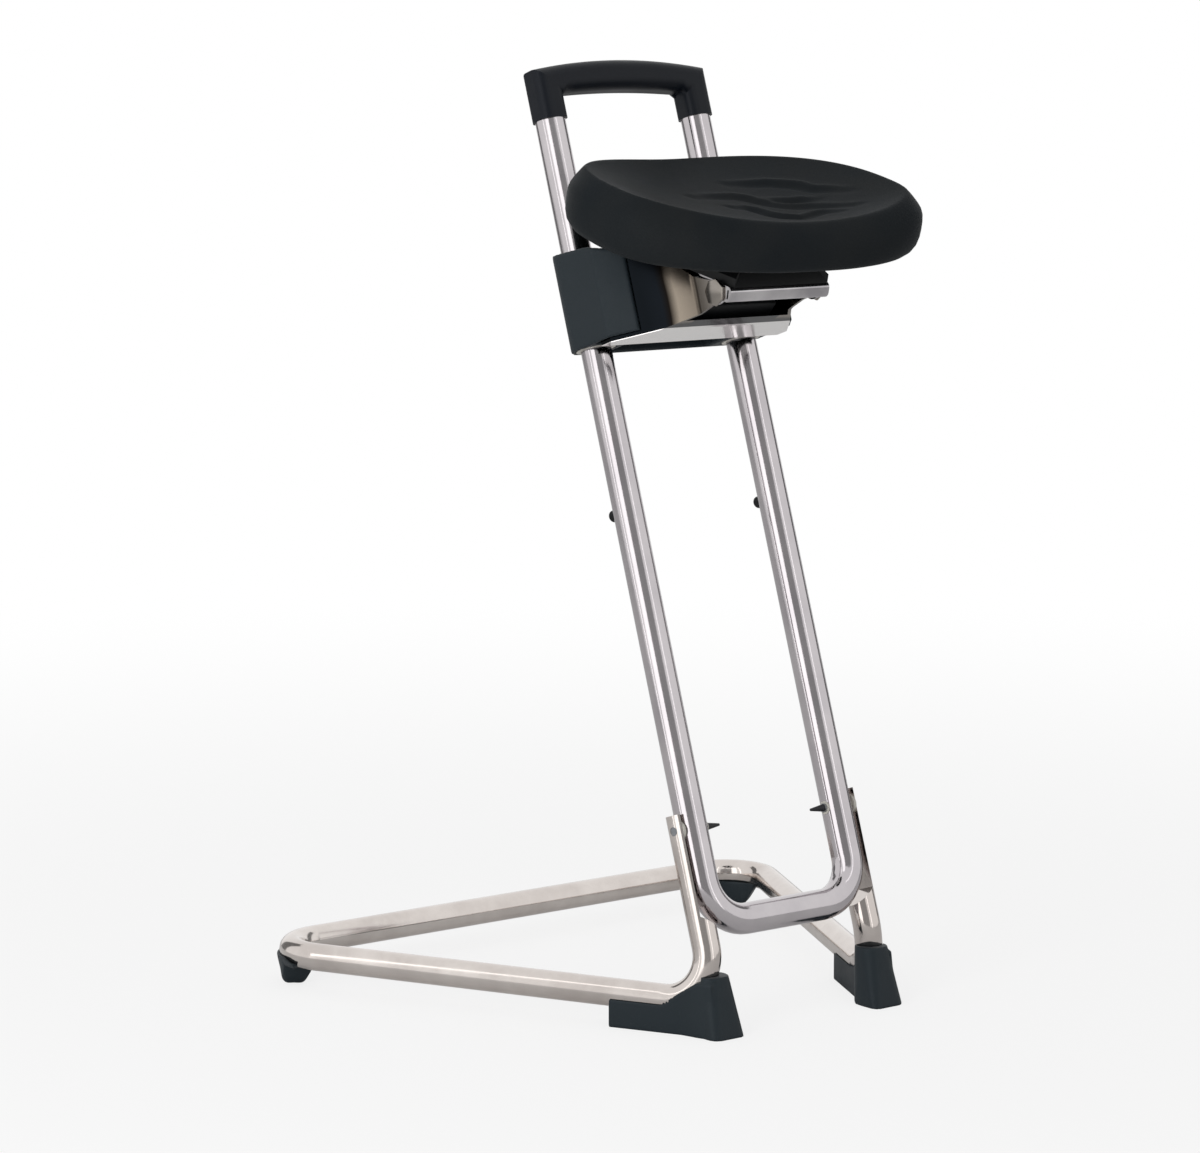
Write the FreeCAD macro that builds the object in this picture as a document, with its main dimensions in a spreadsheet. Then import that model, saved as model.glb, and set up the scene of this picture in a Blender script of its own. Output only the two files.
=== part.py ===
import FreeCAD, Part
import math
import os
import Sketcher

# Perch stool: a leaning mast on a low floor frame, with a tilting seat that slides on the mast.
# Millimetres, +Z up, the sitter faces -Y, the origin is on the floor under the middle of the stool.

V = FreeCAD.Vector
X_AXIS = V(1, 0, 0)
Y_AXIS = V(0, 1, 0)
Z_AXIS = V(0, 0, 1)
SIDES = (("right", -1), ("left", 1))

doc = FreeCAD.newDocument("perch_stool")
sheet = doc.addObject("Spreadsheet::Sheet", "Sizes")

# Driving dimensions, one cell each
DIMENSIONS = {
    # Mast
    "lean_angle": 18.15,
    "mast_diameter": 28.0,
    "mast_wall": 2.0,
    "mast_spacing": 170.6,
    "mast_line_setback": -204.2,
    "bow_distance": 100.0,
    "bow_radius": 40.0,
    "mast_top": 837.0,
    # Floor frame
    "base_diameter": 25.4,
    "base_wall": 2.0,
    "base_width": 610.0,
    "rear_corner_place": 226.4,
    "rear_corner_radius": 42.0,
    "front_bend_radius": 38.0,
    "front_leg_height": 28.0,
    "rear_leg_height": 32.0,
    "stub_spread": 9.2,
    "stub_setback": 2.0,
    # Ears and pivot
    "ear_gap": 2.9,
    "ear_top": 200.0,
    "shoulder_top": 108.0,
    "shoulder_bottom": 86.0,
    "pivot_distance": 186.0,
    "pivot_pin_diameter": 8.0,
    "pivot_sleeve_wall": 2.0,
    "pivot_sleeve_proud": 0.2,
    "pivot_washer_diameter": 18.0,
    "pin_proud": 2.0,
    "pin_setback": 0.6,
    "pin_cap_length": 15.0,
    "pin_cap_diameter": 7.0,
    "pin_cap_tip": 2.4,
    # Feet and glides
    "foot_length": 100.0,
    "foot_width": 27.0,
    "foot_wall": 1.6,
    "foot_tail_height": 26.0,
    "foot_collar_height": 53.0,
    "foot_toe_length": 16.0,
    "foot_toe_width": 32.0,
    "foot_toe_setback": 2.0,
    "foot_toe_corner": 8.0,
    "foot_collar_corner": 13.2,
    "foot_web_knee": 16.0,
    "foot_web_end": 50.0,
    "foot_web_drop": 5.0,
    "glide_angle": 76.0,
    "glide_width": 26.0,
    "glide_height": 25.0,
    "glide_rounding": 6.0,
    "screw_diameter": 4.0,
    "screw_head_diameter": 8.0,
    "screw_head_height": 2.5,
    "foot_screw_place": 84.0,
    "foot_screw_recess": 6.0,
    "screw_head_play": 0.5,
    # Stop buffers
    "buffer_distance": 475.0,
    "buffer_diameter": 11.0,
    "buffer_height": 9.5,
    "buffer_peg_diameter": 5.0,
    "buffer_peg_reach": 1.5,
    "buffer_rounding": 2.2,
    # Handle
    "handle_thickness": 28.5,
    "handle_opening_height": 22.5,
    "handle_grip_height": 28.0,
    "handle_arch": 8.5,
    "handle_edge_radius": 10.0,
    "handle_plug_length": 34.0,
    "handle_screw_depth": 9.0,
    "handle_screw_gap": 2.0,
    # Carriage housing
    "housing_bottom": 624.0,
    "housing_top": 716.0,
    "housing_margin": 8.0,
    "housing_wall": 4.0,
    "housing_side_length": 46.0,
    "housing_side_taper": 17.5,
    "housing_mouth": 70.0,
    "housing_top_drop": 7.0,
    "housing_slope_start": 40.0,
    "housing_mouth_drop": 11.0,
    "housing_block_half": 60.0,
    "housing_corner_radius": 21.0,
    "boss_side": 68.0,
    "boss_inset": 14.0,
    "boss_diameter": 10.0,
    # Bushes
    "bush_wall": 4.0,
    "bush_length": 16.0,
    "bush_inset": 1.0,
    # Bracket
    "plate_thickness": 3.0,
    "bracket_bottom": 620.0,
    "bracket_back": 31.0,
    "bracket_top_drop": 3.0,
    "cheek_spacing": 106.0,
    "cheek_corner_start": 82.0,
    "cheek_corner_end": 132.0,
    "cheek_top_rise": 14.0,
    "cheek_step_run": 14.0,
    "cheek_step_rise": 32.0,
    "cheek_bend_radius": 9.0,
    "tilt_axle_forward": 144.0,
    "tilt_axle_distance": 637.0,
    "tilt_axle_diameter": 8.0,
    "cheek_nose_radius": 8.4,
    "cheek_nose_flat": 0.1,
    # Brake
    "brake_bar_height": 20.0,
    "brake_bar_thickness": 6.0,
    "brake_bar_overhang": 12.0,
    "brake_pad_width": 15.0,
    "brake_pad_height": 24.0,
    "brake_guide_spacing": 80.0,
    "brake_guide_diameter": 6.0,
    "brake_window_play": 1.5,
    "brake_bar_gap": 0.5,
    # Seat bracket
    "seat_slope": 11.9,
    "tray_rise": 9.0,
    "tray_front": 20.0,
    "tray_rear": 78.0,
    "tray_lip": 14.0,
    "tray_return": 10.0,
    "slot_play": 0.8,
    "tray_edge_radius": 5.0,
    "ear_radius": 11.0,
    "ear_play": 1.3,
    "tilt_bush_wall": 1.5,
    "tilt_bush_flange": 1.0,
    "tilt_bush_play": 0.2,
    "axle_cap_diameter": 12.0,
    "axle_cap_height": 2.4,
    "axle_cap_floor": 1.0,
    "axle_cap_rounding": 1.4,
    # Spring
    "spring_wire": 2.0,
    "spring_turns": 7.0,
    "spring_pitch": 2.8,
    # Seat
    "seat_width": 336.0,
    "seat_depth": 254.0,
    "seat_centre": 39.0,
    "seat_rise": 33.0,
    "seat_height": 60.0,
    "seat_front_narrowing": 26.0,
    "seat_back_narrowing": 34.0,
    "seat_corner_radius": 85.0,
    "seat_side_radius": 200.0,
    "seat_top_rounding": 14.0,
    "seat_bottom_rounding": 8.0,
    "pan_thickness": 6.0,
    "pan_inset": 26.0,
    "pan_corner_radius": 60.0,
    "pedestal_width": 108.0,
    "pedestal_taper": 9.0,
    "pedestal_setback": 3.0,
    "seat_screw_side": 34.0,
    "seat_screw_front": 12.0,
    "seat_screw_rear": 62.0,
    "seat_screw_length": 16.0,
    # Fits
    "running_clearance": 0.06,
    "press_clearance": 0.04,
    "body_clearance": 0.3,
    "seat_clearance": 0.15,
}

for row, (alias, number) in enumerate(DIMENSIONS.items(), start=1):
    sheet.set("A%d" % row, alias)
    sheet.set("B%d" % row, str(number))
    sheet.setAlias("B%d" % row, alias)
doc.recompute()


class Size:
    """A number together with the spreadsheet formula that gives it."""

    def __init__(self, value, formula):
        self.value = float(value)
        self.formula = formula

    def join(self, other, sign, value):
        text = other.formula if isinstance(other, Size) else repr(float(other))
        return Size(value, "(%s %s %s)" % (self.formula, sign, text))

    def __float__(self):
        return self.value

    def __add__(self, other):
        return self.join(other, "+", self.value + float(other))

    def __sub__(self, other):
        return self.join(other, "-", self.value - float(other))

    def __mul__(self, other):
        return self.join(other, "*", self.value * float(other))

    def __truediv__(self, other):
        return self.join(other, "/", self.value / float(other))

    def __neg__(self):
        return Size(-self.value, "(-1 * %s)" % self.formula)


class Dimensions:
    """Reads each driving dimension of the sheet as a Size."""

    def __getattr__(self, alias):
        return Size(sheet.get(alias), "Sizes." + alias)


d = Dimensions()


def bind(item, prop, size):
    """Set a property of an object to a size and tie it to the sheet."""
    setattr(item, prop, size.value)
    item.setExpression(prop, size.formula)


# Frames: the leaning mast, and the seat on its tilt axle
LEAN = math.radians(float(d.lean_angle))
ALONG = V(0, math.sin(LEAN), math.cos(LEAN))
FORWARD = V(0, -math.cos(LEAN), math.sin(LEAN))
MAST_FOOT = V(0, float(d.mast_line_setback), 0)
MAST_FRAME = FreeCAD.Placement(MAST_FOOT, FreeCAD.Rotation(X_AXIS, -float(d.lean_angle)))


def on_mast(x, forward, distance):
    """A point given by its side, its distance in front of the mast and its distance along the mast."""
    return MAST_FOOT + X_AXIS * float(x) + FORWARD * float(forward) + ALONG * float(distance)


TILT_CENTRE = on_mast(0, d.tilt_axle_forward, d.tilt_axle_distance)
SEAT_FRAME = FreeCAD.Placement(TILT_CENTRE, FreeCAD.Rotation(X_AXIS, float(d.seat_slope)))

half_spacing = d.mast_spacing / 2
mast_radius = d.mast_diameter / 2
PAST = 1.0  # millimetres that a cut runs past what it cuts
SPRING_POINTS = 700
nodes = []


def keep(item, label):
    """Name an object as one of the stool's pieces."""
    item.Label = label
    nodes.append(item)
    return item


def feature(label, shape, placement=None):
    """A piece whose shape is worked out here, put in its frame afterwards."""
    item = doc.addObject("Part::Feature", label)
    item.Shape = shape
    if placement is not None:
        item.Placement = placement
    return keep(item, label)


def cylinder(label, radius, height, base, direction):
    """A cylinder bound to the sheet, from its base point along a direction."""
    item = doc.addObject("Part::Cylinder", label)
    bind(item, "Radius", radius)
    bind(item, "Height", height)
    item.Placement = FreeCAD.Placement(base, FreeCAD.Rotation(Z_AXIS, direction))
    return item


def boolean(kind, label, base, tool):
    """A Part::Cut or Part::Fuse of two objects."""
    item = doc.addObject("Part::" + kind, label)
    item.Base = base
    item.Tool = tool
    return item


def ring(label, outer, inner, height, base, direction):
    """A straight tube bound to the sheet."""
    body = cylinder(label + "_outside", outer, height, base, direction)
    bore = cylinder(label + "_bore", inner, height, base, direction)
    return boolean("Cut", label, body, bore)


# Sketch helpers


def new_body(label, placement):
    body = doc.addObject("PartDesign::Body", label)
    body.Placement = placement
    return keep(body, label)


def new_sketch(body, name, plane, offset=None):
    """A sketch on one of the body's own planes, moved off it by an offset along its normal."""
    sketch = body.newObject("Sketcher::SketchObject", name)
    support = [item for item in body.Origin.OriginFeatures if item.Role == plane][0]
    sketch.AttachmentSupport = [(support, "")]
    sketch.MapMode = "FlatFace"
    if offset is not None:
        sketch.AttachmentOffset = FreeCAD.Placement(V(0, 0, offset.value), FreeCAD.Rotation())
        sketch.setExpression("AttachmentOffset.Base.z", offset.formula)
    return sketch


def place_point(sketch, geometry, end, point):
    """Tie one point of a sketch to the sheet."""
    for axis, kind, size in ((-2, "DistanceX", point[0]), (-1, "DistanceY", point[1])):
        if isinstance(size, Size):
            index = sketch.addConstraint(Sketcher.Constraint(kind, -1, 1, geometry, end, size.value))
            sketch.setExpression("Constraints[%d]" % index, size.formula)
        else:
            sketch.addConstraint(Sketcher.Constraint("PointOnObject", geometry, end, axis))


def flat(point):
    return V(float(point[0]), float(point[1]), 0)


def outline(sketch, points):
    """A closed outline of straight lines, each corner tied to the sheet."""
    count = len(points)
    lines = []
    for index in range(count):
        start, end = flat(points[index]), flat(points[(index + 1) % count])
        lines.append(sketch.addGeometry(Part.LineSegment(start, end), False))
    for index in range(count):
        sketch.addConstraint(Sketcher.Constraint("Coincident", lines[index - 1], 2, lines[index], 1))
        place_point(sketch, lines[index], 1, points[index])


def circle(sketch, centre, radius):
    """A circle whose centre and radius are tied to the sheet."""
    curve = Part.Circle(flat(centre), Z_AXIS, radius.value)
    index = sketch.addGeometry(curve, False)
    place_point(sketch, index, 3, centre)
    constraint = sketch.addConstraint(Sketcher.Constraint("Radius", index, radius.value))
    sketch.setExpression("Constraints[%d]" % constraint, radius.formula)


def pad(body, sketch, length, midplane=False, backward=False):
    item = body.newObject("PartDesign::Pad", sketch.Name + "_pad")
    item.Profile = sketch
    bind(item, "Length", length)
    item.Midplane = midplane
    item.Reversed = backward
    doc.recompute()
    return item


def pocket(body, sketch, length, midplane=False, backward=False):
    before = body.Shape.Volume
    item = body.newObject("PartDesign::Pocket", sketch.Name + "_pocket")
    item.Profile = sketch
    bind(item, "Length", length)
    item.Midplane = midplane
    item.Reversed = backward
    doc.recompute()
    if body.Shape.Volume > before - 0.01:
        raise RuntimeError("%s cuts nothing" % sketch.Name)
    return item


def fillet(body, radius, chosen):
    """Round the edges of a body's tip that a rule picks."""
    tip = body.Tip
    names = ["Edge%d" % (index + 1) for index, edge in enumerate(tip.Shape.Edges) if chosen(edge)]
    item = body.newObject("PartDesign::Fillet", body.Label + "_rounding")
    item.Base = (tip, names)
    bind(item, "Radius", radius)
    doc.recompute()
    return item


def is_along(edge, direction):
    """True for a straight edge along a direction."""
    if edge.Curve.TypeId != "Part::GeomLine":
        return False
    return abs(abs(edge.Curve.Direction.dot(direction)) - 1) < 1e-6


# Bent tubes: straight runs joined by tangent arcs


def bent_path(points, radii):
    """A wire through corner points, each inner corner rounded by its own radius."""
    edges = []
    start = points[0]
    for index in range(1, len(points) - 1):
        corner = points[index]
        back = (points[index - 1] - corner).normalize()
        ahead = (points[index + 1] - corner).normalize()
        half = back.getAngle(ahead) / 2
        radius = radii[index - 1]
        reach = radius / math.tan(half)
        middle = (back + ahead).normalize() * (radius / math.sin(half) - radius)
        first, last = corner + back * reach, corner + ahead * reach
        edges.append(Part.LineSegment(start, first).toShape())
        edges.append(Part.Arc(first, corner + middle, last).toShape())
        start = last
    edges.append(Part.LineSegment(start, points[-1]).toShape())
    return Part.Wire(edges)


def swept_rod(path, radius):
    """A solid round bar along a path."""
    first = path.Edges[0]
    start = first.valueAt(first.FirstParameter)
    direction = first.tangentAt(first.FirstParameter)
    section = Part.Wire([Part.Circle(start, direction, radius).toShape()])
    return path.makePipeShell([section], True, False)


# Floor frame: one tube, its front ends turned up beside the mast and pressed flat

base_radius = d.base_diameter / 2
stub_side = half_spacing + d.stub_spread
ear_face = half_spacing + mast_radius + d.ear_gap


def stub_point(side, distance):
    return on_mast(side * stub_side.value, -d.stub_setback, distance)


def front_corner(side):
    """Where the stub's line meets the floor leg's line."""
    rise = (float(d.front_leg_height) - stub_point(side, 0).z) / ALONG.z
    return stub_point(side, rise)


def rear_corner(side):
    return V(side * float(d.base_width) / 2, float(d.rear_corner_place), float(d.rear_leg_height))


def base_path(stub_end):
    points = [stub_point(-1, stub_end), front_corner(-1), rear_corner(-1)]
    points += [rear_corner(1), front_corner(1), stub_point(1, stub_end)]
    front, rear = float(d.front_bend_radius), float(d.rear_corner_radius)
    return bent_path(points, [front, rear, rear, front])


def ear_relief(side):
    """What the press takes off the inner side of an upturned end, down to a slanted shoulder."""
    face, inner = ear_face.value, stub_side.value - float(d.base_diameter)
    low, high, top = float(d.shoulder_bottom), float(d.shoulder_top), float(d.ear_top) + 1
    corners = [(inner, low), (face, high), (face, top), (inner, top)]
    reach = float(d.base_diameter)
    points = [on_mast(side * x, -reach, along) for x, along in corners]
    face_wire = Part.makePolygon(points + [points[0]])
    return Part.Face(face_wire).extrude(FORWARD * (2 * reach))


foot_hole_radius = float(d.screw_diameter) / 2 + float(d.press_clearance)


def leg_direction(side):
    run = rear_corner(side) - front_corner(side)
    run.z = 0
    return run.normalize()


def rear_arc(side):
    """Centre of a rear bend and the direction from it to the bend's middle."""
    corner = rear_corner(side)
    back = (front_corner(side) - corner).normalize()
    ahead = (rear_corner(-side) - corner).normalize()
    half = back.getAngle(ahead) / 2
    inward = (back + ahead).normalize()
    centre = corner + inward * (float(d.rear_corner_radius) / math.sin(half))
    outward = V(-inward.x, -inward.y, 0).normalize()
    return centre, outward


def foot_screw_places():
    """The four points on the floor above which a screw goes up into the tube."""
    places = []
    for name, side in SIDES:
        front = front_corner(side) + leg_direction(side) * float(d.foot_screw_place)
        centre, outward = rear_arc(side)
        rear = centre + outward * float(d.rear_corner_radius)
        places += [V(front.x, front.y, 0), V(rear.x, rear.y, 0)]
    return places


outer_tube = swept_rod(base_path(d.ear_top), float(base_radius))
inner_tube = swept_rod(base_path(d.shoulder_bottom - d.base_wall), float(base_radius - d.base_wall))
base_shape = outer_tube.cut(inner_tube)
pin_hole_radius = d.pivot_pin_diameter / 2
for name, side in SIDES:
    base_shape = base_shape.cut(ear_relief(side))
    hole_start = on_mast(0, 0, d.pivot_distance)
    hole_radius = float(pin_hole_radius + d.press_clearance)
    hole = Part.makeCylinder(hole_radius, float(d.base_width) / 2, hole_start, X_AXIS * side)
    base_shape = base_shape.cut(hole)
for place in foot_screw_places():
    base_shape = base_shape.cut(Part.makeCylinder(foot_hole_radius, float(d.rear_leg_height), place, Z_AXIS))
base_tube = feature("base_tube", base_shape)

# Boots under the front bends and saddles under the rear ones

tube_room = swept_rod(base_path(d.ear_top), float(base_radius + d.seat_clearance))


def rounded_rectangle(width, depth, radius, placement):
    """A closed wire of four lines and four arcs about the origin, then placed."""
    x, y = width / 2, depth / 2
    edges = []
    for turn in range(4):
        side, end = (x, y) if turn % 2 == 0 else (y, x)
        spin = FreeCAD.Placement(V(0, 0, 0), FreeCAD.Rotation(Z_AXIS, 90 * turn))
        line = Part.LineSegment(V(side, radius - end, 0), V(side, end - radius, 0)).toShape()
        knee = radius * (1 - math.sqrt(0.5))
        corner = Part.Arc(V(side, end - radius, 0), V(side - knee, end - knee, 0), V(side - radius, end, 0))
        for edge in (line, corner.toShape()):
            edge.Placement = spin
            edges.append(edge)
    wire = Part.Wire(edges)
    wire.Placement = placement
    return wire


def screw_recess(place):
    bore = Part.makeCylinder(foot_hole_radius, float(d.rear_leg_height), place, Z_AXIS)
    head = float(d.screw_head_diameter / 2 + d.screw_head_play)
    return bore.fuse(Part.makeCylinder(head, float(d.foot_screw_recess), place, Z_AXIS))


def foot_shape(side):
    """A boot: a toe that tapers up to a collar on the stub, and a tail along the leg."""
    corner = front_corner(side)
    collar_height = float(d.foot_collar_height)
    toe = V(corner.x, corner.y + float(d.foot_toe_setback), 0)
    axis_rise = collar_height / ALONG.z - stub_point(side, 0).z
    collar = stub_point(side, axis_rise)
    collar_size = float(d.base_diameter) + 2 * float(d.foot_wall)
    toe_width, toe_depth = float(d.foot_toe_width), 2 * float(d.foot_toe_length)
    toe_corner, collar_corner = float(d.foot_toe_corner), float(d.foot_collar_corner)
    level = FreeCAD.Rotation()
    lower = rounded_rectangle(toe_width, toe_depth, toe_corner, FreeCAD.Placement(toe, level))
    upper = rounded_rectangle(collar_size, collar_size, collar_corner, FreeCAD.Placement(collar, level))
    shoe = Part.makeLoft([lower, upper], True, True)
    along = leg_direction(side)
    across = V(-along.y, along.x, 0)
    length, tail = float(d.foot_length), float(d.foot_tail_height)
    web_top = collar_height - float(d.foot_web_drop)
    profile = [(0, 0), (length, 0), (length, tail), (float(d.foot_web_end), tail)]
    profile += [(float(d.foot_web_knee), web_top), (0, web_top)]
    ground = V(corner.x, corner.y, 0) - across * (float(d.foot_width) / 2)
    points = [ground + along * run + Z_AXIS * rise for run, rise in profile]
    web = Part.Face(Part.makePolygon(points + [points[0]])).extrude(across * float(d.foot_width))
    solid = shoe.fuse(web).removeSplitter()
    solid = solid.cut(tube_room)
    place = V(corner.x, corner.y, 0) + along * float(d.foot_screw_place)
    return solid.cut(screw_recess(place))


def glide_shape(side):
    """A saddle: part of a ring that follows the rear bend."""
    centre, outward = rear_arc(side)
    ground = V(centre.x, centre.y, 0)
    middle, half_width = float(d.rear_corner_radius), float(d.glide_width) / 2
    angle = float(d.glide_angle)
    outer = Part.makeCylinder(middle + half_width, float(d.glide_height), V(0, 0, 0), Z_AXIS, angle)
    inner = Part.makeCylinder(middle - half_width, float(d.glide_height), V(0, 0, 0), Z_AXIS, 360)
    solid = outer.cut(inner)
    low_edges = [edge for edge in solid.Edges if max(vertex.Z for vertex in edge.Vertexes) < 0.01]
    solid = solid.makeFillet(float(d.glide_rounding), low_edges)
    heading = math.degrees(math.atan2(outward.y, outward.x)) - angle / 2
    solid.Placement = FreeCAD.Placement(ground, FreeCAD.Rotation(Z_AXIS, heading))
    solid = solid.cut(tube_room)
    return solid.cut(screw_recess(ground + outward * middle))


def one_solid(shape):
    """The largest solid of a cut shape."""
    return max(shape.Solids, key=lambda solid: solid.Volume)


def screw(place, direction, length):
    """A screw with a flat head at its place and a shank along a direction."""
    shank = Part.makeCylinder(float(d.screw_diameter) / 2, length, place, direction)
    head = Part.makeCylinder(float(d.screw_head_diameter) / 2, float(d.screw_head_height), place, -direction)
    return shank.fuse(head)


for name, side in SIDES:
    feature(name + "_foot", one_solid(foot_shape(side)))
    feature(name + "_glide", one_solid(glide_shape(side)))

screw_start = Z_AXIS * float(d.foot_screw_recess)
foot_screw_length = float(d.front_leg_height) - float(d.foot_screw_recess)
foot_screw_solids = [screw(place + screw_start, Z_AXIS, foot_screw_length) for place in foot_screw_places()]
feature("foot_screws", Part.makeCompound(foot_screw_solids))

# Pivot: washer between ear and mast tube, pin through both, tapered cap on its inner end

pin_inner = half_spacing - mast_radius - d.pin_proud
pin_outer = half_spacing + d.stub_spread + base_radius
for name, side in SIDES:
    outward = X_AXIS * side
    pin_start = on_mast(side * pin_inner.value, 0, d.pivot_distance)
    pin_length = pin_outer - pin_inner - d.pin_setback
    keep(cylinder(name + "_pivot_pin", pin_hole_radius, pin_length, pin_start, outward), name + "_pivot_pin")
    washer_start = on_mast(side * (half_spacing + mast_radius + d.body_clearance).value, 0, d.pivot_distance)
    washer_radius = d.pivot_washer_diameter / 2
    washer_bore = pin_hole_radius + d.press_clearance
    washer_width = d.ear_gap - d.body_clearance
    washer = ring(name + "_pivot_washer", washer_radius, washer_bore, washer_width, washer_start, outward)
    keep(washer, name + "_pivot_washer")
    cap = doc.addObject("Part::Cone", name + "_pin_cap")
    bind(cap, "Radius1", d.pin_cap_diameter / 2)
    bind(cap, "Radius2", d.pin_cap_tip / 2)
    bind(cap, "Height", d.pin_cap_length)
    cap.Placement = FreeCAD.Placement(pin_start, FreeCAD.Rotation(Z_AXIS, -outward))
    keep(cap, name + "_pin_cap")

# Mast: one tube bent to a U, bored for the pivot sleeves, the buffers' pegs and the handle's screws

mast = new_body("mast_tube", MAST_FRAME)
profile = new_sketch(mast, "mast_profile", "XY_Plane", d.mast_top)
circle(profile, (-half_spacing, 0), mast_radius)
circle(profile, (-half_spacing, 0), mast_radius - d.mast_wall)
path = new_sketch(mast, "mast_path", "XZ_Plane")
bow = [(-half_spacing, d.mast_top), (-half_spacing, d.bow_distance + d.bow_radius)]
bow += [(-half_spacing + d.bow_radius, d.bow_distance), (half_spacing - d.bow_radius, d.bow_distance)]
bow += [(half_spacing, d.bow_distance + d.bow_radius), (half_spacing, d.mast_top)]
for start, end in ((0, 1), (2, 3), (4, 5)):
    line = path.addGeometry(Part.LineSegment(flat(bow[start]), flat(bow[end])), False)
    place_point(path, line, 1, bow[start])
    place_point(path, line, 2, bow[end])
for first, last, centre_side in ((0, 1, -1), (1, 2, 1)):
    x = centre_side * (half_spacing - d.bow_radius).value
    z = (d.bow_distance + d.bow_radius).value
    low, high = (math.pi, 1.5 * math.pi) if centre_side < 0 else (1.5 * math.pi, 2 * math.pi)
    bend = Part.ArcOfCircle(Part.Circle(V(x, z, 0), Z_AXIS, float(d.bow_radius)), low, high)
    index = path.addGeometry(bend, False)
    path.addConstraint(Sketcher.Constraint("Coincident", index, 1, first, 2))
    path.addConstraint(Sketcher.Constraint("Coincident", index, 2, last, 1))
    radius_row = path.addConstraint(Sketcher.Constraint("Radius", index, float(d.bow_radius)))
    path.setExpression("Constraints[%d]" % radius_row, d.bow_radius.formula)
pipe = mast.newObject("PartDesign::AdditivePipe", "mast_pipe")
pipe.Profile = profile
pipe.Spine = (path, ["Edge1", "Edge4", "Edge2", "Edge5", "Edge3"])
doc.recompute()

sleeve_radius = pin_hole_radius + d.running_clearance + d.pivot_sleeve_wall
pivot_bore = new_sketch(mast, "pivot_bore", "YZ_Plane")
circle(pivot_bore, (0, d.pivot_distance), sleeve_radius + d.press_clearance)
pocket(mast, pivot_bore, d.mast_spacing + d.mast_diameter * 2, midplane=True)
peg_radius = d.buffer_peg_diameter / 2
handle_screw_distance = d.mast_top - d.handle_screw_depth
rear_holes = new_sketch(mast, "rear_holes", "XZ_Plane")
for name, side in SIDES:
    hole_side = half_spacing if side > 0 else -half_spacing
    circle(rear_holes, (hole_side, d.buffer_distance), peg_radius)
    circle(rear_holes, (hole_side, handle_screw_distance), d.screw_diameter / 2 + d.press_clearance)
pocket(mast, rear_holes, d.mast_diameter)

for name, side in SIDES:
    start = on_mast(side * (half_spacing - mast_radius - d.pivot_sleeve_proud).value, 0, d.pivot_distance)
    sleeve_length = d.mast_diameter + d.pivot_sleeve_proud * 2
    bore = pin_hole_radius + d.running_clearance
    sleeve = ring(name + "_pivot_sleeve", sleeve_radius, bore, sleeve_length, start, X_AXIS * side)
    keep(sleeve, name + "_pivot_sleeve")

# Stop buffers: rubber studs pegged into the back of each mast tube


def mast_rod(side, radius, low, high):
    """A round bar along one leg of the mast."""
    start = V(side * half_spacing.value, 0, float(low))
    return Part.makeCylinder(float(radius), float(high) - float(low), start, Z_AXIS)


def buffer_shape(side):
    centre = V(side * half_spacing.value, 0, float(d.buffer_distance))
    head = Part.makeCylinder(float(d.buffer_diameter) / 2, float(mast_radius + d.buffer_height), centre, Y_AXIS)
    rim = [edge for edge in head.Edges if edge.BoundBox.YMin > float(mast_radius)]
    head = head.makeFillet(float(d.buffer_rounding), rim)
    tube = mast_rod(side, mast_radius, d.buffer_distance - d.mast_diameter, d.buffer_distance + d.mast_diameter)
    head = head.cut(tube)
    peg_start = centre + Y_AXIS * float(mast_radius - d.mast_wall - d.buffer_peg_reach)
    peg_length = float(d.mast_wall + d.buffer_peg_reach * 2)
    return head.fuse(Part.makeCylinder(float(peg_radius - d.press_clearance), peg_length, peg_start, Y_AXIS))


for name, side in SIDES:
    feature(name + "_stop_buffer", buffer_shape(side), MAST_FRAME)

# Handle: an arched grip and two legs in one moulding, with plugs that go down inside the mast tubes

handle_half = half_spacing + d.handle_thickness / 2
opening_half = half_spacing - d.handle_thickness / 2
opening_top = d.mast_top + d.handle_opening_height
grip_top = opening_top + d.handle_grip_height


def arch_curve(start, end, rise):
    """An arch between two points, highest in the middle."""
    return Part.Arc(start, (start + end) / 2 + Z_AXIS * rise, end)


def handle_front():
    """The handle's front outline with an arched top and a slightly arched opening, as a solid slab."""
    half, opening = handle_half.value, opening_half.value
    low, rise = float(d.mast_top), float(d.handle_arch)
    shoulder = grip_top.value - rise / 2
    ceiling = opening_top.value - rise / 4
    corners = [V(half, 0, low), V(half, 0, shoulder), V(-half, 0, shoulder), V(-half, 0, low)]
    corners += [V(-opening, 0, low), V(-opening, 0, ceiling), V(opening, 0, ceiling), V(opening, 0, low)]
    arches = {1: arch_curve(corners[1], corners[2], rise), 5: arch_curve(corners[5], corners[6], rise / 3)}
    edges = []
    for index, corner in enumerate(corners):
        curve = arches.get(index) or Part.LineSegment(corner, corners[(index + 1) % len(corners)])
        edges.append(curve.toShape())
    face = Part.Face(Part.Wire(edges))
    face.translate(V(0, -float(d.handle_thickness) / 2, 0))
    return face.extrude(V(0, float(d.handle_thickness), 0))


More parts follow.
